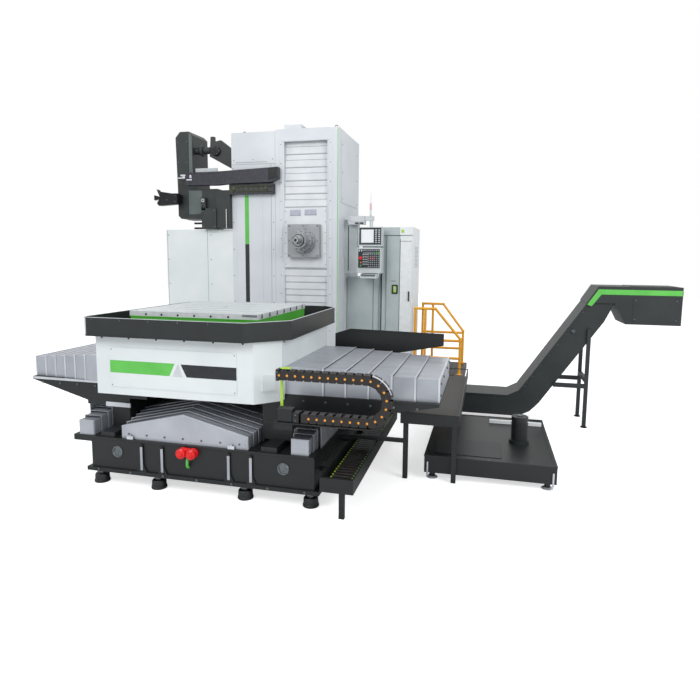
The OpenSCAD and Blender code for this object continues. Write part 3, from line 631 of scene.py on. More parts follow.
# housing front: bars without their letters, a dark screw row, a rear cover
stripe = {"front": -0.0505, "back": -0.0475, "edge": 0.0008}
flats = {"greenPaint": [(-0.813, 1.317), (-0.813, 1.194), (-0.157, 1.192), (-0.099, 1.316)],
    "lightGrey": [(-0.061, 1.315), (-0.128, 1.189), (-0.015, 1.189)],
    "darkKeysAndShade": [(-0.034, 1.312), (0.027, 1.19), (0.5445, 1.19), (0.5445, 1.311)]}
screwRow = [(x, -0.04, 1.538) for x in np.arange(-0.90, 0.70, 0.302)]
screwSide = [(0.915, y, 1.538) for y in np.arange(0.22, 1.70, 0.28)]
panelScrews = [(x, -0.048, z) for x in (-0.795, 0.525) for z in (1.07, 1.425)]
makePiece("housing_bars", "table_base",
    [(name, [plate(flat, stripe["front"], stripe["back"], stripe["edge"])]) for name, flat in flats.items()])
makePiece("housing_fittings", "table_base",
    [("darkSteelAndShade",
            [bolts(screwRow), bolts(screwSide, "x", 0.009, 0.006, 1),
                bolts(panelScrews, "y", 0.005, 0.002),
                bolts([(x, 1.79, 1.538) for x in np.arange(-0.9, 0.6, 0.3)], "y", 0.009, 0.006, 1)]),
        ("whitePaint", [plate(rounded(-0.7, 1.08, 0.45, 1.42, 0.02), 1.788, 1.796, 0.002)])])

# chip tray: a thin bright rim, the bright cut corner, screws and a drain
def trayOutline(grow):
    l, r, y0, y1 = -1.06 - grow, 1.0 + grow, -0.14 - grow, 1.89 + grow
    c, s = 0.34 + 0.6 * grow, 0.06 + 0.6 * grow
    return [(l, y0 + s), (l + s, y0), (r - c, y0), (r, y0 + c), (r, y1 - c / 2), (r - c / 2, y1), (l, y1)]


makePiece("tray_rim", "table_base",
    [("lipAndHighlight",
            [ring(trayOutline(0),
                    [(0.0015, 1.7425), (0.0015, 1.7465), (-0.0115, 1.7465), (-0.0115, 1.7425)]),
                slab([(-1.0606, -0.079), (-0.9994, -0.1402), (-1.0012, -0.142), (-1.0624, -0.0808)], "z",
                    1.566, 1.738)]),
        ("trayPaint",
            [ring(trayOutline(0), [(0.004, 1.5605), (0.004, 1.572), (-0.05, 1.572), (-0.05, 1.5605)])]),
        ("boltSteel",
            [bolts([(x, -0.14, 1.722) for x in np.arange(-0.93, 0.62, 0.31)], "y", 0.006, 0.004),
                turned([(0.035, 1.59), (0.035, 1.594), (0.028, 1.596), (0.02, 1.593)], (-0.9, 1.75, 0),
                    "z", 20)])])

# rotary table: holes along the front and rear edges drawn as flat dark discs, the corner stop, dark slot
# floors and ends, a ring under the top; the discs, floors and ends are painted shade
frontHoles = [(x, 0.175, 1.758) for x in (-0.543, -0.367, -0.186, -0.006, 0.174, 0.360)]
rearHoles = [(-0.03 - (x + 0.03), 1.575, 1.758) for x, _, _ in frontHoles]
slotRows = [(0, 0.175 + 0.2 * (i + 0.5), 0) for i in range(7)]
makePiece("table_fittings", "rotary_table",
    # flat dark discs in place of the holes: painted shade
    [("darkSteelAndShade", [bolts(frontHoles, "y", 0.011, 0.0012), bolts(rearHoles, "y", 0.011, 0.0012, 1)]),
        ("spindleSteel", [bar((0.505, 0.1705, 1.766), (0.663, 0.1755, 1.7885), 0.002)]),
        # dark bars on the slots' floors and at their right ends: painted shade in the slots
        ("darkKeysAndShade",
            [repeated(bar((-0.729, -0.0138, 1.7455), (0.6697, 0.0138, 1.7515), 0.001), slotRows),
                repeated(bar((0.6692, -0.0135, 1.7455), (0.6705, 0.0135, 1.7885), 0.0005), slotRows)]),
        ("lipAndHighlight",
            [ring(circle(0.641, 96, (-0.03, 0.875)),
                    [(0.0, 1.6), (0.0, 1.612), (0.0025, 1.612), (0.0025, 1.6)])])])
print("table dressed")

# column: raised panel with its stripe, seams, frame round the shaft, side and rear covers, lifting eyes
def seam(x0, x1, z0, z1, y=3.6, deep=0.0012):
    return bar((x0, y - deep, z0), (x1, y + 0.001, z1), 0.0005)


def eyeBolt(x, y, z):
    loop = turnedTo(ring(circle(0.022, 24, (x, y)),
            [(0.006 * cos(a), z + 0.034 + 0.006 * sin(a))
                for a in np.linspace(0, 2 * pi, 8, endpoint=False)]), "X", 90, (x, y, z + 0.034))
    return [turned([(0.022, z), (0.022, z + 0.006), (0.012, z + 0.014)], (x, y, 0), "z", 16), loop]


column = {"front": 3.6, "rear": 4.95, "frameFront": 3.592, "leftSide": -1.248, "rightSide": 0.538}
frameBars = [bar((-0.425, 3.592, 1.12), (-0.378, 3.601, 4.165), 0.003),
    bar((0.378, 3.592, 1.12), (0.425, 3.601, 4.165), 0.003),
    bar((-0.378, 3.592, 4.125), (0.378, 3.601, 4.165), 0.003),
    bar((-0.378, 3.592, 1.11), (0.378, 3.601, 1.146), 0.003)]
rearPanels = [plate(rounded(a, 0.62, b, c, 0.03), column["rear"] - 0.001, column["rear"] + 0.012, 0.003)
    for a, b, c in ((-1.14, -0.54, 4.16), (-0.46, 0.44, 2.3), (-0.46, 0.44, 4.18))]
rearBolts = [(x, column["rear"] + 0.012, z) for x in (-1.1, -0.58, -0.42, 0.4)
    for z in np.linspace(0.68, 4.1, 9)]
vents = repeated(slab([(0.0, 0.0), (0.016, 0.0), (0.004, 0.014)], "x", -0.36, 0.34, 0.002),
    [(0, column["rear"] + 0.011, z) for z in np.arange(3.2, 3.9, 0.034)])
makePiece("column_covers", "machine",
    [("columnPaint",
            [bar((-1.16, 3.594, 1.16), (-0.716, 3.601, 3.765), 0.004),
                bar((0.441, 3.5955, 1.12), (0.505, 3.601, 4.27), 0.003)] + frameBars + rearPanels
            + [vents, slab(rounded(3.8, 1.25, 4.8, 4.1, 0.03), "x", -1.248, -1.239, 0.003),
                slab(rounded(3.75, 3.2, 4.8, 4.16, 0.03), "x", 0.529, 0.538, 0.003),
                slab(rounded(4.25, 2.12, 4.8, 3.1, 0.03), "x", 0.529, 0.538, 0.003)]),
        ("greenPaint",
            [bar((-1.018, 3.5925, 2.555), (-0.948, 3.5945, 3.322), 0.0008),
                bar((0.513, 3.5965, 0.52), (0.521, 3.601, 4.29), 0.001)]),
        ("darkKeysAndShade", [bar((-1.018, 3.5925, 1.6), (-0.948, 3.5945, 2.553), 0.0008)]),
        ("seamAndShadowGrey",
            [seam(-1.168, -0.632, 3.829, 3.836), seam(-0.5015, -0.4985, 1.12, 4.28),
                seam(-0.572, -0.566, 1.12, 3.79), seam(-1.2, -0.52, 1.139, 1.143),
                bar((-0.07, 3.7, 4.3095), (0.42, 4.8, 4.3115), 0.0005)]),
        ("boltSteel",
            [
                bolts([(x, column["front"], z) for x in (-1.215, -0.535)
                        for z in np.linspace(1.2, 3.74, 7)], "y", 0.008, 0.004),
                bolts([(x, column["front"], 3.87) for x in (-1.2, -0.87, -0.54)], "y", 0.008, 0.004),
                bolts([(s * 0.402, column["frameFront"], z) for s in (-1, 1)
                        for z in np.linspace(1.2, 4.08, 11)], "y", 0.007, 0.004),
                bolts(rearBolts, "y", 0.009, 0.005, 1),
                bolts([(column["leftSide"], y, z) for y in (3.84, 4.76)
                        for z in np.linspace(1.32, 4.04, 7)], "x", 0.009, 0.005),
                bolts([(column["rightSide"], y, z) for y in (3.79, 4.76) for z in (3.26, 3.66, 4.08)],
                    "x", 0.009, 0.005, 1)] + eyeBolt(-1.1, 3.8, 4.29) + eyeBolt(-1.1, 4.8, 4.29)
            + eyeBolt(0.45, 4.8, 4.31) + eyeBolt(0.45, 3.75, 4.31))])

# shutters: a grey line of painted shadow under each slat's lip, and a grey lip on each section's upper edge
shutter = {"top": 4.12, "plateTop": 3.11, "plateLow": 2.19, "low": 1.15, "overlap": 0.135,
    "front": 3.618, "slats": 3}


def slatShadowsAndLips(k):
    y = shutter["front"] + cover["nest"] * (5 - k)
    up = (shutter["top"] - shutter["plateTop"]) / 5
    down = (shutter["plateLow"] - shutter["low"]) / 5
    sheets = [(shutter["top"] - up * (k + 1), up + shutter["overlap"]),
        (shutter["low"] + down * k - shutter["overlap"], down + shutter["overlap"])]
    # grey strips under each slat's lip: painted shadow
    lines = [bar((-0.344, y - 0.0024, z + high * i / shutter["slats"] - 0.011),
            (0.344, y + 0.0005, z + high * i / shutter["slats"] - 0.001), 0.0004) for z, high in sheets
        for i in range(1, shutter["slats"])]
    return lines + [bar((-0.344, y - 0.003, z + high - 0.006), (0.344, y + 0.002, z + high - 0.0005),
            0.0004) for z, high in sheets]


for k, body in enumerate(["machine"] + [f"shutter_{k}" for k in range(1, 5)] + ["headstock"]):
    makePiece(f"slat_shadows_and_lips_{k}", body, [("seamAndShadowGrey", slatShadowsAndLips(k))])

# headstock plate and spindle: plain name plates, screws, flange bolts, drive keys
spindle = {"z": 2.6, "middle": (0, 2.6), "cross": (2.6, 0), "plateFront": 3.59, "faceFront": 3.48}
plateScrews = [(s * 0.325, spindle["plateFront"], z) for s in (-1, 1) for z in np.linspace(2.24, 3.06, 6)]
makePiece("headstock_fittings", "headstock",
    [("plateLilac",
            [bar((-0.253, 3.588, 2.992), (-0.075, 3.5905, 3.082), 0.0008),
                bar((-0.013, 3.588, 2.996), (0.182, 3.5905, 3.086), 0.0008)]),
        ("seamAndShadowGrey",
            [bar((-0.253, 3.5875, 2.992), (-0.075, 3.5885, 3.004), 0.0004),
                bar((-0.013, 3.5875, 2.996), (0.182, 3.5885, 3.008), 0.0004)]),
        ("boltSteel",
            [bolts(plateScrews, "y", 0.007, 0.004),
                bolts([(x, spindle["faceFront"], spindle["z"] + z) for x in (-0.228, 0.228)
                        for z in (-0.225, 0.228)], "y", 0.014, 0.009),
                bolts([(x, spindle["faceFront"], spindle["z"] + z)
                        for x, z in ((0, 0.228), (-0.228, 0), (0.228, 0), (0, -0.225))], "y", 0.01, 0.007),
                bolts(onCircle(0.1775, 12, spindle["middle"], 3.44, 0.26), "y", 0.009, 0.007),
                bolts(onCircle(0.143, 12, spindle["middle"], 3.38), "y", 0.01, 0.008),
                bolts(onCircle(0.1035, 8, spindle["middle"], 3.26, 0.39), "y", 0.007, 0.005)]),
        ("darkSteelAndShade",
            [ring(circle(0.092, 40, spindle["cross"]),
                    [(0.002, 3.2615), (0.002, 3.2565), (-0.008, 3.2545), (-0.008, 3.2615)], "y")])])
makePiece("spindle_keys", "boring_spindle",
    [("darkSteelAndShade",
            [bar((-0.009, 3.198, spindle["z"] + s * 0.0495 - 0.004),
                    (0.009, 3.2105, spindle["z"] + s * 0.0495 + 0.004), 0.0015) for s in (-1, 1)]
            + [ring(circle(0.044, 40, spindle["cross"]),
                    [(0.0015, 3.15), (0.0015, 3.142), (-0.001, 3.142), (-0.001, 3.15)], "y")])])
print("column dressed")

# tool changer: facets and rings on the housings, the paler facets painted highlight, ribbed beam, gripper
# fittings, rail, motor
beamRibs = repeated(bar((-0.006, 3.4465, 3.515), (0.006, 3.4515, 3.655), 0.002),
    [(x, 0, (x + 1.98) * 0.028) for x in np.arange(-1.93, -0.6, 0.031)])
oliveRibs = repeated(bar((-0.016, 3.494, 3.345), (0.016, 3.501, 3.47), 0.003),
    [(x, 0, 0) for x in np.arange(-1.2, -0.52, 0.085)])
couplingRings = [turned([(0.063, -1.848 + i * 0.021), (0.066, -1.845 + i * 0.021),
            (0.066, -1.838 + i * 0.021), (0.063, -1.835 + i * 0.021)], (0, 3.67, 4.05), "x", 28)
    for i in range(3)]
makePiece("changer_fittings", "machine",
    # paler copies of the changer's paint on its facets and along one edge: painted highlight
    [("changerPaintedHighlight",
            [plate([(-1.968, 3.452), (-1.868, 3.452), (-1.907, 3.764), (-1.907, 4.272), (-1.962, 4.326)],
                    3.5545, 3.5605, 0.002),
                plate([(-1.985, 3.03), (-1.79, 3.03), (-1.745, 3.075), (-1.745, 3.41), (-1.985, 3.41)],
                    3.5545, 3.5605, 0.002), bar((-1.483, 3.4985, 2.8), (-1.4795, 3.5015, 3.11), 0.001)]),
        ("changerGreen",
            [plate(rounded(-2.17, 3.5, -1.985, 4.22, 0.012), 3.5545, 3.5605, 0.002),
                plate(rounded(-2.155, 3.03, -2.0, 3.4, 0.012), 3.5545, 3.5605, 0.002),
                bar((-1.742, 3.5, 3.085), (-1.662, 3.575, 3.292), 0.004)] + couplingRings),
        ("beamPurple", [beamRibs, bar((-1.965, 3.445, 3.658), (-1.25, 3.455, 3.676), 0.002)]),
        ("oliveMetal",
            [oliveRibs,
                tube([(-1.235, 3.492, 3.448), (-0.87, 3.492, 3.448), (-0.505, 3.492, 3.448)], 0.011),
                tube([(-1.235, 3.492, 3.372), (-0.87, 3.492, 3.372), (-0.505, 3.492, 3.372)], 0.008),
                turned([(0.034, 3.502), (0.034, 3.478), (0.02, 3.474)], (-1.16, 0, 3.41), "y", 20),
                turned([(0.028, 3.502), (0.028, 3.482), (0.012, 3.478)], (-0.62, 0, 3.41), "y", 20)]),
        ("darkSteelAndShade",
            [plate([(-0.555, 3.53), (-0.401, 3.565), (-0.401, 3.724), (-0.555, 3.716)], 3.4435, 3.452,
                    0.002),
                turned([(0.026, 3.503), (0.026, 3.496), (0.02, 3.494)], (-1.702, 0, 3.135), "y", 20),
                turned([(0.074, 3.642), (0.074, 3.612), (0.066, 3.604), (0.02, 3.602)], (-1.52, 0, 4.03),
                    "y", 28)]),
        ("lipAndHighlight",
            [ring(circle(0.021, 28, (3.244, -1.702)),
                    [(0.006, 3.501), (0.006, 3.493), (-0.004, 3.493), (-0.004, 3.501)], "y"),
                bar((-2.105, 3.44, 3.585), (-1.985, 3.47, 3.605), 0.003),
                bar((-2.06, 3.44, 3.625), (-1.975, 3.47, 3.648), 0.003),
                bar((-2.03, 3.45, 3.595), (-1.99, 3.562, 3.64), 0.003),
                bar((-1.955, 3.44, 3.553), (-1.865, 3.452, 3.575), 0.003),
                bar((-1.9, 3.441, 3.59), (-1.868, 3.452, 3.64), 0.003)]),
        ("lightGrey",
            [bar((-1.885, 3.606, 3.705), (-1.5, 3.64, 3.765), 0.004),
                bar((-1.303, 3.498, 2.8), (-1.29, 3.5015, 3.1), 0.001)]),
        ("boltSteel",
            [bolts([(x, 3.5545, z) for x in (-2.155, -2.0) for z in (3.54, 3.86, 4.18)]),
                bolts([(x, 3.5545, z) for x in (-1.965, -1.77) for z in (3.1, 3.38)]),
                bolts([(x, 3.38, z) for x, z in ((-2.13, 3.22), (-2.13, 3.31), (-2.28, 3.25), (-2.4, 3.36))]),
                bolts([(x, 3.5, z) for x in (-1.7, -1.51) for z in (2.83, 3.08)]),
                bolts(onCircle(0.055, 6, (-1.52, 4.03), 3.604), "y", 0.006, 0.004),
                bolts([(-2.18, y, z) for y in (3.62, 4.0) for z in (3.08, 3.36)], "x", 0.009, 0.006)])])
makePiece("guard_strips", "machine",
    [("seamAndShadowGrey",
            [seam(-2.425, -2.419, 1.41, 2.775), seam(-1.692, -1.686, 1.41, 2.775),
                seam(-2.43, -1.25, 1.401, 1.406)]),
        ("boltSteel",
            [bolts([(x, 3.6, z) for x in (-2.4, -1.63) for z in np.linspace(1.5, 2.7, 4)], "y", 0.008,
                    0.004),
                bolts([(x, 3.66, z) for x in (-2.38, -1.6, -1.28) for z in np.linspace(0.1, 1.3, 4)],
                    "y", 0.008, 0.004)])])
print("tool changer dressed")

# operator pendant: dark bezel, pale picture, keypad with its keys, red stop button, keyboard tray
def keyGrid(x0, x1, z0, z1, columns, rows, size, y=3.788):
    xs, zs = np.meshgrid(np.linspace(x0, x1, columns), np.linspace(z0, z1, rows))
    places = np.stack([xs.ravel(), np.full(xs.size, y), zs.ravel()], 1)
    return repeated(bar((-size[0] / 2, -0.003, -size[1] / 2), (size[0] / 2, 0.001, size[1] / 2), 0.0012),
        places)


pendant = {"screenY": 3.8365, "keysY": 3.787, "buttonX": 0.846, "trayY": 3.7185,
    "screen": [(2.814, 0.806), (2.814, 1.156), (2.556, 1.156), (2.556, 0.806)],
    "keypad": [(2.494, 0.796), (2.494, 1.154), (2.186, 1.154), (2.186, 0.796)],
    "screenScrews": [(x, 3.84, z) for x in (0.8, 1.16) for z in (2.545, 2.82)],
    "keypadScrews": [(x, 3.8, z) for x in (0.79, 1.16) for z in (2.125, 2.5)]}
screenFrame = [(0.0, -0.006), (0.0, 0.001), (0.008, 0.001), (0.008, -0.006)]
makePiece("pendant_face", "operator_pendant",
    [("darkKeysAndShade",
            [bar((0.812, 3.8365, 2.562), (1.15, 3.8405, 2.808), 0.001),
                bar((0.803, 3.788, 2.194), (1.147, 3.7905, 2.486), 0.001),
                bar((0.866, 3.735, 2.0995), (1.094, 3.85, 2.105), 0.002),
                bar((0.866, 3.7185, 2.062), (1.094, 3.7215, 2.092), 0.001)]),
        ("screenPale", [bar((0.843, 3.8285, 2.59), (1.034, 3.8325, 2.784), 0.001)]),
        ("pendantGrey",
            [ring(np.roll(pendant["screen"], -1, 0), [(b, 3.84 + a) for a, b in screenFrame], "y"),
                ring(np.roll(pendant["keypad"], -1, 0), [(b, 3.8 - 0.004 + a) for a, b in screenFrame],
                    "y"), keyGrid(1.075, 1.125, 2.59, 2.78, 2, 7, (0.03, 0.018), pendant["screenY"]),
                keyGrid(0.822, 0.858, 2.462, 2.468, 2, 1, (0.02, 0.03)),
                keyGrid(0.885, 0.945, 2.25, 2.4, 3, 5, (0.016, 0.016)),
                bar((0.852, 3.7145, 2.031), (1.108, 3.7205, 2.058), 0.002)]),
        ("slateKeys",
            [keyGrid(0.895, 1.125, 2.425, 2.465, 8, 2, (0.022, 0.022)),
                keyGrid(0.97, 1.13, 2.215, 2.4, 6, 7, (0.019, 0.017)),
                keyGrid(0.88, 1.08, 2.078, 2.078, 12, 1, (0.012, 0.014), pendant["trayY"])]),
        ("redPlastic",
            [turned([(0.016, 3.791), (0.016, 3.78), (0.026, 3.777), (0.027, 3.768), (0.021, 3.762)],
                    (pendant["buttonX"], 0, 2.345), "y", 24),
                keyGrid(1.0, 1.045, 2.33, 2.355, 2, 2, (0.016, 0.014), pendant["keysY"])]),
        ("amberLens",
            [turned([(0.012, 3.791), (0.012, 3.783), (0.009, 3.781)], (pendant["buttonX"], 0, 2.275),
                    "y", 16)]),
        ("greenPaint",
            [turned([(0.012, 3.791), (0.012, 3.783), (0.009, 3.781)], (pendant["buttonX"], 0, 2.228),
                    "y", 16), keyGrid(1.095, 1.13, 2.425, 2.425, 2, 1, (0.022, 0.022), pendant["keysY"])]),
        ("boltSteel",
            [bolts(pendant["screenScrews"], "y", 0.005, 0.002),
                bolts(pendant["keypadScrews"], "y", 0.005, 0.002)])])
makePiece("pendant_arm_trim", "machine",
    [("darkKeysAndShade",
            [bar((0.728, 3.8575, 2.876), (0.792, 3.8605, 2.902), 0.001),
                bar((0.802, 3.8575, 2.876), (0.868, 3.8605, 2.902), 0.001),
                # a dark bar down the back box in place of a groove: painted shade
                bar((0.586, 3.9875, 2.14), (0.6, 3.9905, 2.86), 0.001)]),
        ("lightGrey", [bar((0.64, 3.857, 2.915), (0.872, 3.8605, 2.99), 0.002)])])

# cabinet: dark joints, the switch, handle, head panel, vents, plinth, and the mast with its lamps
mast = (0.858, 4.45, 0)
makePiece("cabinet_trim", "machine",
    [("darkKeysAndShade",
            [bar((1.106, 4.1465, 0.51), (1.1215, 4.184, 2.79), 0.001),
                bar((0.974, 4.1475, 0.56), (0.981, 4.1505, 2.028), 0.0008),
                bar((0.545, 4.1465, 0.5005), (1.6, 4.1505, 0.552), 0.001)]),
        ("cabinetWhite", [bar((1.405, 4.112, 2.714), (1.6195, 4.151, 2.842), 0.004)]),
        ("cabinetGrey",
            [bar((1.122, 4.118, 2.714), (1.404, 4.151, 2.838), 0.003),
                bar((1.122, 4.14, 0.56), (1.192, 4.1505, 2.7), 0.002)]),
        ("limePaint", [bar((1.43, 4.1095, 2.75), (1.475, 4.1125, 2.8), 0.001)]),
        ("lightGrey",
            [plate(rounded(1.17, 0.6, 1.57, 2.76, 0.02), 4.948, 4.958, 0.003),
                plate(rounded(0.6, 0.6, 1.02, 1.96, 0.02), 4.948, 4.958, 0.003)]),
        ("seamAndShadowGrey",
            [repeated(bar((1.24, 4.957, 0), (1.5, 4.9605, 0.006), 0.001),
                    [(0, 0, z) for z in np.arange(2.3, 2.62, 0.022)]),
                repeated(bar((1.6185, 4.34, 0), (1.6215, 4.76, 0.006), 0.001),
                    [(0, 0, z) for z in np.arange(2.2, 2.55, 0.022)])]),
        ("boltSteel",
            [bolts([(x, 4.958, z) for x in (1.2, 1.54, 0.63, 0.99) for z in (0.66, 1.9)], "y", 0.008,
                    0.004, 1)]),
        ("mastGrey",
            [turned([(0.034, 2.0295), (0.034, 2.036), (0.016, 2.05), (0.009, 2.06), (0.009, 3.045),
                        (0.02, 3.05), (0.02, 3.085), (0.017, 3.09), (0.017, 3.145)], mast, "z", 16),
                turned([(0.018, 3.245), (0.016, 3.26), (0.006, 3.265), (0.006, 3.41), (0.004, 3.415)],
                    mast, "z", 12)]),
        ("pinkLens",
            [turned([(0.0175, 3.144), (0.0175, 3.192), (0.016, 3.194), (0.016, 3.197), (0.0175, 3.199),
                        (0.0175, 3.246)], mast, "z", 20)])])
makePiece("cabinet_door_fittings", "cabinet_door",
    [("darkKeysAndShade",
            [plate(rounded(1.29, 1.775, 1.388, 1.925, 0.018), 4.106, 4.1185, 0.002),
                bar((1.411, 4.1145, 0.6), (1.4185, 4.1185, 2.66), 0.0008),
                bar((1.275, 4.114, 1.978), (1.352, 4.1185, 1.986), 0.001),
                plate(rounded(1.556, 1.66, 1.576, 1.822, 0.006), 4.098, 4.1185, 0.002),
                bar((1.4, 4.1145, 2.615), (1.602, 4.1185, 2.621), 0.0008)]),
        ("limePaint", [plate(rounded(1.314, 1.8, 1.364, 1.9, 0.012), 4.102, 4.107, 0.001)]),
        ("lightGrey",
            [bar((1.33, 4.088, 1.835), (1.348, 4.103, 1.89), 0.003),
                turned([(0.014, 4.104), (0.014, 4.094), (0.01, 4.091)], (1.339, 0, 1.845), "y", 20)])])
print("cabinet dressed")

# platform: tread bars, rim, rail flanges, and the small orange motor at its corner
treads = repeated(bar((-0.052, -0.0035, 0.4995), (0.052, 0.0035, 0.5022), 0.0012),
    [(1.37 + 0.13 * i + 0.065 * (j % 2), 4.16 + 0.05 * j, 0) for i in range(8) for j in range(22)])
railFeet = [(x, y, 0) for y, xs in ((4.15, (1.68, 1.84, 2.40)), (5.20, (1.68, 1.86, 2.40))) for x in xs]
makePiece("platform_trim", "machine",
    [("darkSheet",
            [treads,
                ring([(1.29, 4.1), (2.48, 4.1), (2.48, 5.25), (1.29, 5.25)],
                    [(0.0, 0.484), (0.0, 0.505), (-0.022, 0.505), (-0.022, 0.498), (-0.006, 0.484)]),
                bar((1.33, 4.12, 0.4995), (1.45, 4.21, 0.615), 0.006)]),
        ("railYellow",
            [repeated(turned([(0.046, 0.4995), (0.046, 0.508), (0.03, 0.511), (0.026, 0.524)], count=20),
                    railFeet)]),
        ("orangePaint",
            [turned([(0.05, 1.3), (0.058, 1.304), (0.058, 1.345), (0.052, 1.35), (0.052, 1.43),
                        (0.058, 1.435), (0.058, 1.462), (0.03, 1.475), (0.02, 1.478)], (0, 4.165, 0.672),
                    "x", 24),
                repeated(bar((1.352, -0.061, -0.003), (1.428, 0.061, 0.003), 0.001),
                    [(0, 4.165, 0.672 + d) for d in (-0.03, -0.01, 0.01, 0.03)])]),
        ("boltSteel",
            [repeated(turned([(0.006, 0.507), (0.006, 0.514)], count=6),
                    [(x + a, y, 0) for x, y, _ in railFeet for a in (-0.034, 0.034)])])])

# rims of the side tray and trough, the second chain, the wing guard's edge, saddle screws
sideTray = [(1.95, 0.90), (2.56, 0.90), (2.56, 3.44), (1.95, 3.44)]
trough = {"edge": [(1.39, -0.16), (1.7, -0.16), (1.7, 2.3), (1.39, 2.3)],
    "linkAt": np.arange(-0.1, 2.24, 0.066), "dotX": (1.442, 1.648)}
troughLinks = repeated(bar((1.432, -0.03, 0.2605), (1.658, 0.03, 0.322), 0.006),
    [(0, y, 0) for y in trough["linkAt"]])
troughDots = [(x, y, 0) for x in trough["dotX"] for y in trough["linkAt"]]
makePiece("tray_and_trough_trim", "machine",
    [("darkSheet", [ring(sideTray, [(0.002, 0.732), (0.002, 0.742), (-0.014, 0.742), (-0.014, 0.732)])]),
        ("chainPlastic", [troughLinks]),
        ("limePaint",
            [repeated(turned([(0.01, 0.3215), (0.01, 0.3255), (0.007, 0.327)], count=10), troughDots)]),
        ("darkSheet",
            [ring(trough["edge"], [(0.0, 0.386), (0.0, 0.3915), (-0.012, 0.3915), (-0.012, 0.386)])]),
        ("boltSteel", [bolts([(1.29, y, 0.345) for y in np.arange(0.1, 2.3, 0.2)], "x", 0.009, 0.006, 1)])])
guardEdge = [(1.0, 1.41), (1.18, 1.47), (2.3, 1.45), (2.3, 1.33), (1.76, 1.22), (1.7, 0.9), (1.0, 0.9)]
makePiece("saddle_trim", "saddle",
    [("chainTray",
            [ring([(z, x) for x, z in guardEdge][::-1],
                    [(0.0015, 1.802), (0.0015, 1.819), (-0.012, 1.819), (-0.012, 1.802)], "y")]),
        ("lipAndHighlight",
            [bar((-1.108, 0.236, 0.752), (-0.812, 0.2515, 0.8), 0.003),
                bar((-2.036, 0.2475, 0.992), (-0.99, 0.2505, 1.018), 0.001)]),
        ("orangePaint",
            [turned([(0.018, -1.052), (0.018, -1.04), (0.012, -1.036)], (0, 0.3, 0.62), "x", 16)]),
        ("boltSteel",
            [bolts([(x, 0.25, 0.96) for x in np.arange(-1.9, -1.0, 0.22)], "y", 0.012, 0.008),
                bolts([(x, 0.25, 0.96) for x in np.arange(1.1, 2.3, 0.22)], "y", 0.012, 0.008),
                bolts([(x, 1.6, 0.96) for x in np.arange(-1.9, 2.3, 0.35)], "y", 0.012, 0.008, 1)])])
print("platform and trays dressed")

# conveyor: flanges with bolts along the rise, green stripe, latch, feet
conveyor = {"front": 3.45, "slope": 1.29 / 0.85, "headFront": 3.4205,
    "incline": [(3.28, 0.47), (4.13, 1.76), (4.155, 1.742), (3.305, 0.452)],
    "stripe": [(4.125, 1.735), (4.262, 1.948), (5.292, 1.948), (5.292, 1.878), (4.3, 1.878),
        (4.185, 1.715)], "footX": 4.175, "footY": (3.43, 4.01), "latch": (3.975, 0, 1.349)}
flange = [plate(conveyor["incline"], y0, y1, 0.001) for y0, y1 in ((3.438, 3.4505), (3.9895, 4.002))]
riseBolts = [(x, conveyor["front"], 0.47 + (x - 3.28) * conveyor["slope"] - 0.055)
    for x in np.linspace(3.36, 4.08, 8)]
makePiece("conveyor_trim", "machine",
    [("conveyorSlate",
            flange
            + [plate([(1.36, 0.37), (3.12, 0.37), (3.12, 0.392), (1.36, 0.392)], 3.436, 3.4505, 0.001),
                bar((4.7, 3.4165, 1.52), (5.26, conveyor["headFront"], 1.84), 0.002),
                bar((4.66, 3.5, 1.985), (5.26, 3.94, 1.996), 0.003)]),
        ("greenPaint", [plate(conveyor["stripe"], 3.4125, conveyor["headFront"], 0.0008)]),
        ("boltSteel",
            [bolts(riseBolts, "y", 0.01, 0.007),
                bolts([(x, conveyor["front"], 0.345) for x in np.arange(1.45, 3.1, 0.3)], "y", 0.01, 0.007),
                bolts([(x, 3.4145, z) for x in (4.73, 5.23) for z in (1.55, 1.81)]),
                turned([(0.03, 3.451), (0.03, 3.436), (0.022, 3.43), (0.012, 3.41)], conveyor["latch"],
                    "y", 20)]),
        ("darkSteelAndShade",
            [repeated(turned([(0.045, 0.0), (0.045, 0.012), (0.02, 0.02), (0.02, 0.03)], count=16),
                    [(conveyor["footX"], y, 0) for y in conveyor["footY"]]),
                repeated(bar((-0.05, -0.05, 0.0), (0.05, 0.05, 0.012), 0.002),
                    [(1.53, 3.495, 0), (1.53, 3.945, 0)])])])
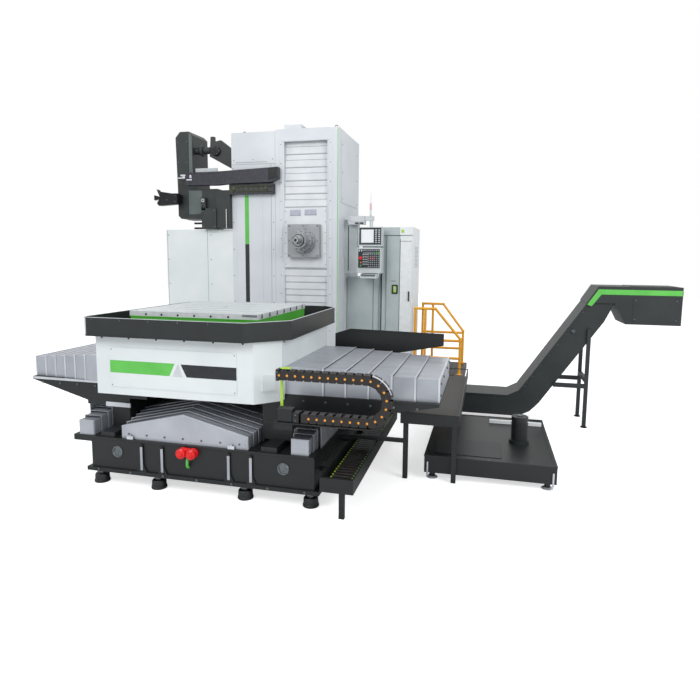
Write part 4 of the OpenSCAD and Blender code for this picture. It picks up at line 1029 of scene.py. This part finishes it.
# tank: rim, lid, white ledge, pads with studs, pump fins
tank = {"edge": [(2.2, 1.0), (3.54, 1.0), (3.54, 2.7), (2.2, 2.7)], "pump": (3.2, 1.7),
    "padX": (2.28, 3.46), "padY": (1.08, 2.62), "boltX": np.linspace(2.24, 3.5, 7),
    "boltY": (1.015, 2.685)}
pumpFins = repeated(ring(circle(0.086, 32, tank["pump"]),
        [(0.0, -0.003), (0.008, -0.003), (0.008, 0.003), (0.0, 0.003)]),
    [(0, 0, z) for z in np.arange(0.325, 0.5, 0.024)])
makePiece("tank_trim", "machine",
    [("darkSheet",
            [ring(tank["edge"], [(0.004, 0.25), (0.004, 0.2635), (-0.03, 0.2635), (-0.03, 0.25)]),
                pumpFins, slab(rounded(2.3, 1.1, 3.0, 1.62, 0.03), "z", 0.2595, 0.266, 0.002)]),
        ("cabinetWhite", [bar((2.874, 2.392, 0.2595), (3.506, 2.428, 0.306), 0.003)]),
        ("lipAndHighlight",
            [repeated(turned([(0.06, 0.0), (0.062, 0.004), (0.05, 0.014), (0.03, 0.018), (0.022, 0.03),
                            (0.022, 0.05), (0.03, 0.052), (0.03, 0.07)], count=20),
                    [(x, y, 0) for x in tank["padX"] for y in tank["padY"]]),
                repeated(turned([(0.007, 0.05), (0.01, 0.055), (0.01, 0.19), (0.007, 0.195)], count=10),
                    [(2.235, 0.992, 0), (3.505, 0.992, 0)])]),
        ("boltSteel",
            [repeated(turned([(0.007, 0.263), (0.007, 0.268)], count=6),
                    [(x, y, 0) for x in tank["boltX"] for y in tank["boltY"]]),
                turned([(0.03, 0.569), (0.03, 0.58), (0.02, 0.584)], (*tank["pump"], 0), "z", 16)])])
makePiece("bed_clips", "machine",
    [("lipAndHighlight",
            [bar((x - 0.035, -0.004, 0.5), (x + 0.035, 0.012, 0.532), 0.003) for x in (-0.66, 0.45)]
            + [turned([(0.012, 0.532), (0.012, 0.545)], (x, 0.004, 0), "z", 8) for x in (-0.66, 0.45)])])
print("conveyor and tank dressed")

# floor, backdrop and light
stageLook = {"floor": "#f4f4f4", "glow": 0.62, "key": 430, "fill": 360, "back": 120, "sky": 0.60}


def stageFinish():
    material, tree, shader, place = newMaterial("paleFloor")
    shader.inputs["Base Color"].default_value = hexColour(stageLook["floor"])
    shader.inputs["Roughness"].default_value = 0.9
    # the camera sees the floor lifted to white, so only the contact shadow is left of it
    seen, lift = tree.nodes.new("ShaderNodeLightPath"), tree.nodes.new("ShaderNodeMath")
    lift.operation = "MULTIPLY"
    lift.inputs[1].default_value = stageLook["glow"]
    tree.links.new(seen.outputs["Is Camera Ray"], lift.inputs[0])
    shader.inputs["Emission Color"].default_value = (1, 1, 1, 1)
    tree.links.new(lift.outputs[0], shader.inputs["Emission Strength"])
    return material


def makeFloor():
    u, v = np.meshgrid(np.linspace(-30, 30, 5), np.linspace(-30, 30, 5), indexing="ij")
    verts = np.stack([u, v, np.full_like(u, -0.0005)], -1).reshape(-1, 3)
    mesh = bpy.data.meshes.new("floor")
    mesh.from_pydata(verts.tolist(), [], [f[::-1] for f in gridFaces(5, 5)])
    mesh.materials.append(stageFinish())
    floor = bpy.data.objects.new("floor", mesh)
    bpy.context.scene.collection.objects.link(floor)


def areaLight(name, place, aim, size, power):
    data = bpy.data.lights.new(name, "AREA")
    data.shape, data.size, data.energy = "DISK", size, power
    light = bpy.data.objects.new(name, data)
    turn = (Vector(aim) - Vector(place)).to_track_quat("-Z", "Y").to_matrix().to_4x4()
    light.matrix_world = Matrix.Translation(Vector(place) + Vector(layout)) @ turn
    bpy.context.scene.collection.objects.link(light)


def makeWorld():
    # soft grey sky for the light, plain white for what the camera, metal and glass see
    world = bpy.data.worlds.new("studio")
    bpy.context.scene.world = world
    world.use_nodes = True
    tree = world.node_tree
    tree.nodes.clear()
    sky, white = tree.nodes.new("ShaderNodeBackground"), tree.nodes.new("ShaderNodeBackground")
    sky.inputs["Color"].default_value = (0.93, 0.96, 1.0, 1)
    sky.inputs["Strength"].default_value = stageLook["sky"]
    white.inputs["Color"].default_value = (1, 1, 1, 1)
    white.inputs["Strength"].default_value = 1.0
    path = tree.nodes.new("ShaderNodeLightPath")
    mix, out = tree.nodes.new("ShaderNodeMixShader"), tree.nodes.new("ShaderNodeOutputWorld")
    seen = path.outputs["Is Camera Ray"]
    for other in ("Is Glossy Ray", "Is Transmission Ray"):
        either = tree.nodes.new("ShaderNodeMath")
        either.operation = "MAXIMUM"
        tree.links.new(seen, either.inputs[0])
        tree.links.new(path.outputs[other], either.inputs[1])
        seen = either.outputs[0]
    tree.links.new(seen, mix.inputs["Fac"])
    tree.links.new(sky.outputs[0], mix.inputs[1])
    tree.links.new(white.outputs[0], mix.inputs[2])
    tree.links.new(mix.outputs[0], out.inputs["Surface"])


makeFloor()
makeWorld()
areaLight("keyLight", (-2.5, -7.5, 8.0), (0.5, 2, 1.5), 5, stageLook["key"])
areaLight("fillLight", (9.0, -3.0, 6.0), (1.5, 2, 1.5), 5, stageLook["fill"])
areaLight("topLight", (0.5, 2.5, 10.0), (0.5, 2.5, 0), 6, stageLook["back"])
bpy.context.scene.view_settings.view_transform = "Standard"
print("stage set")
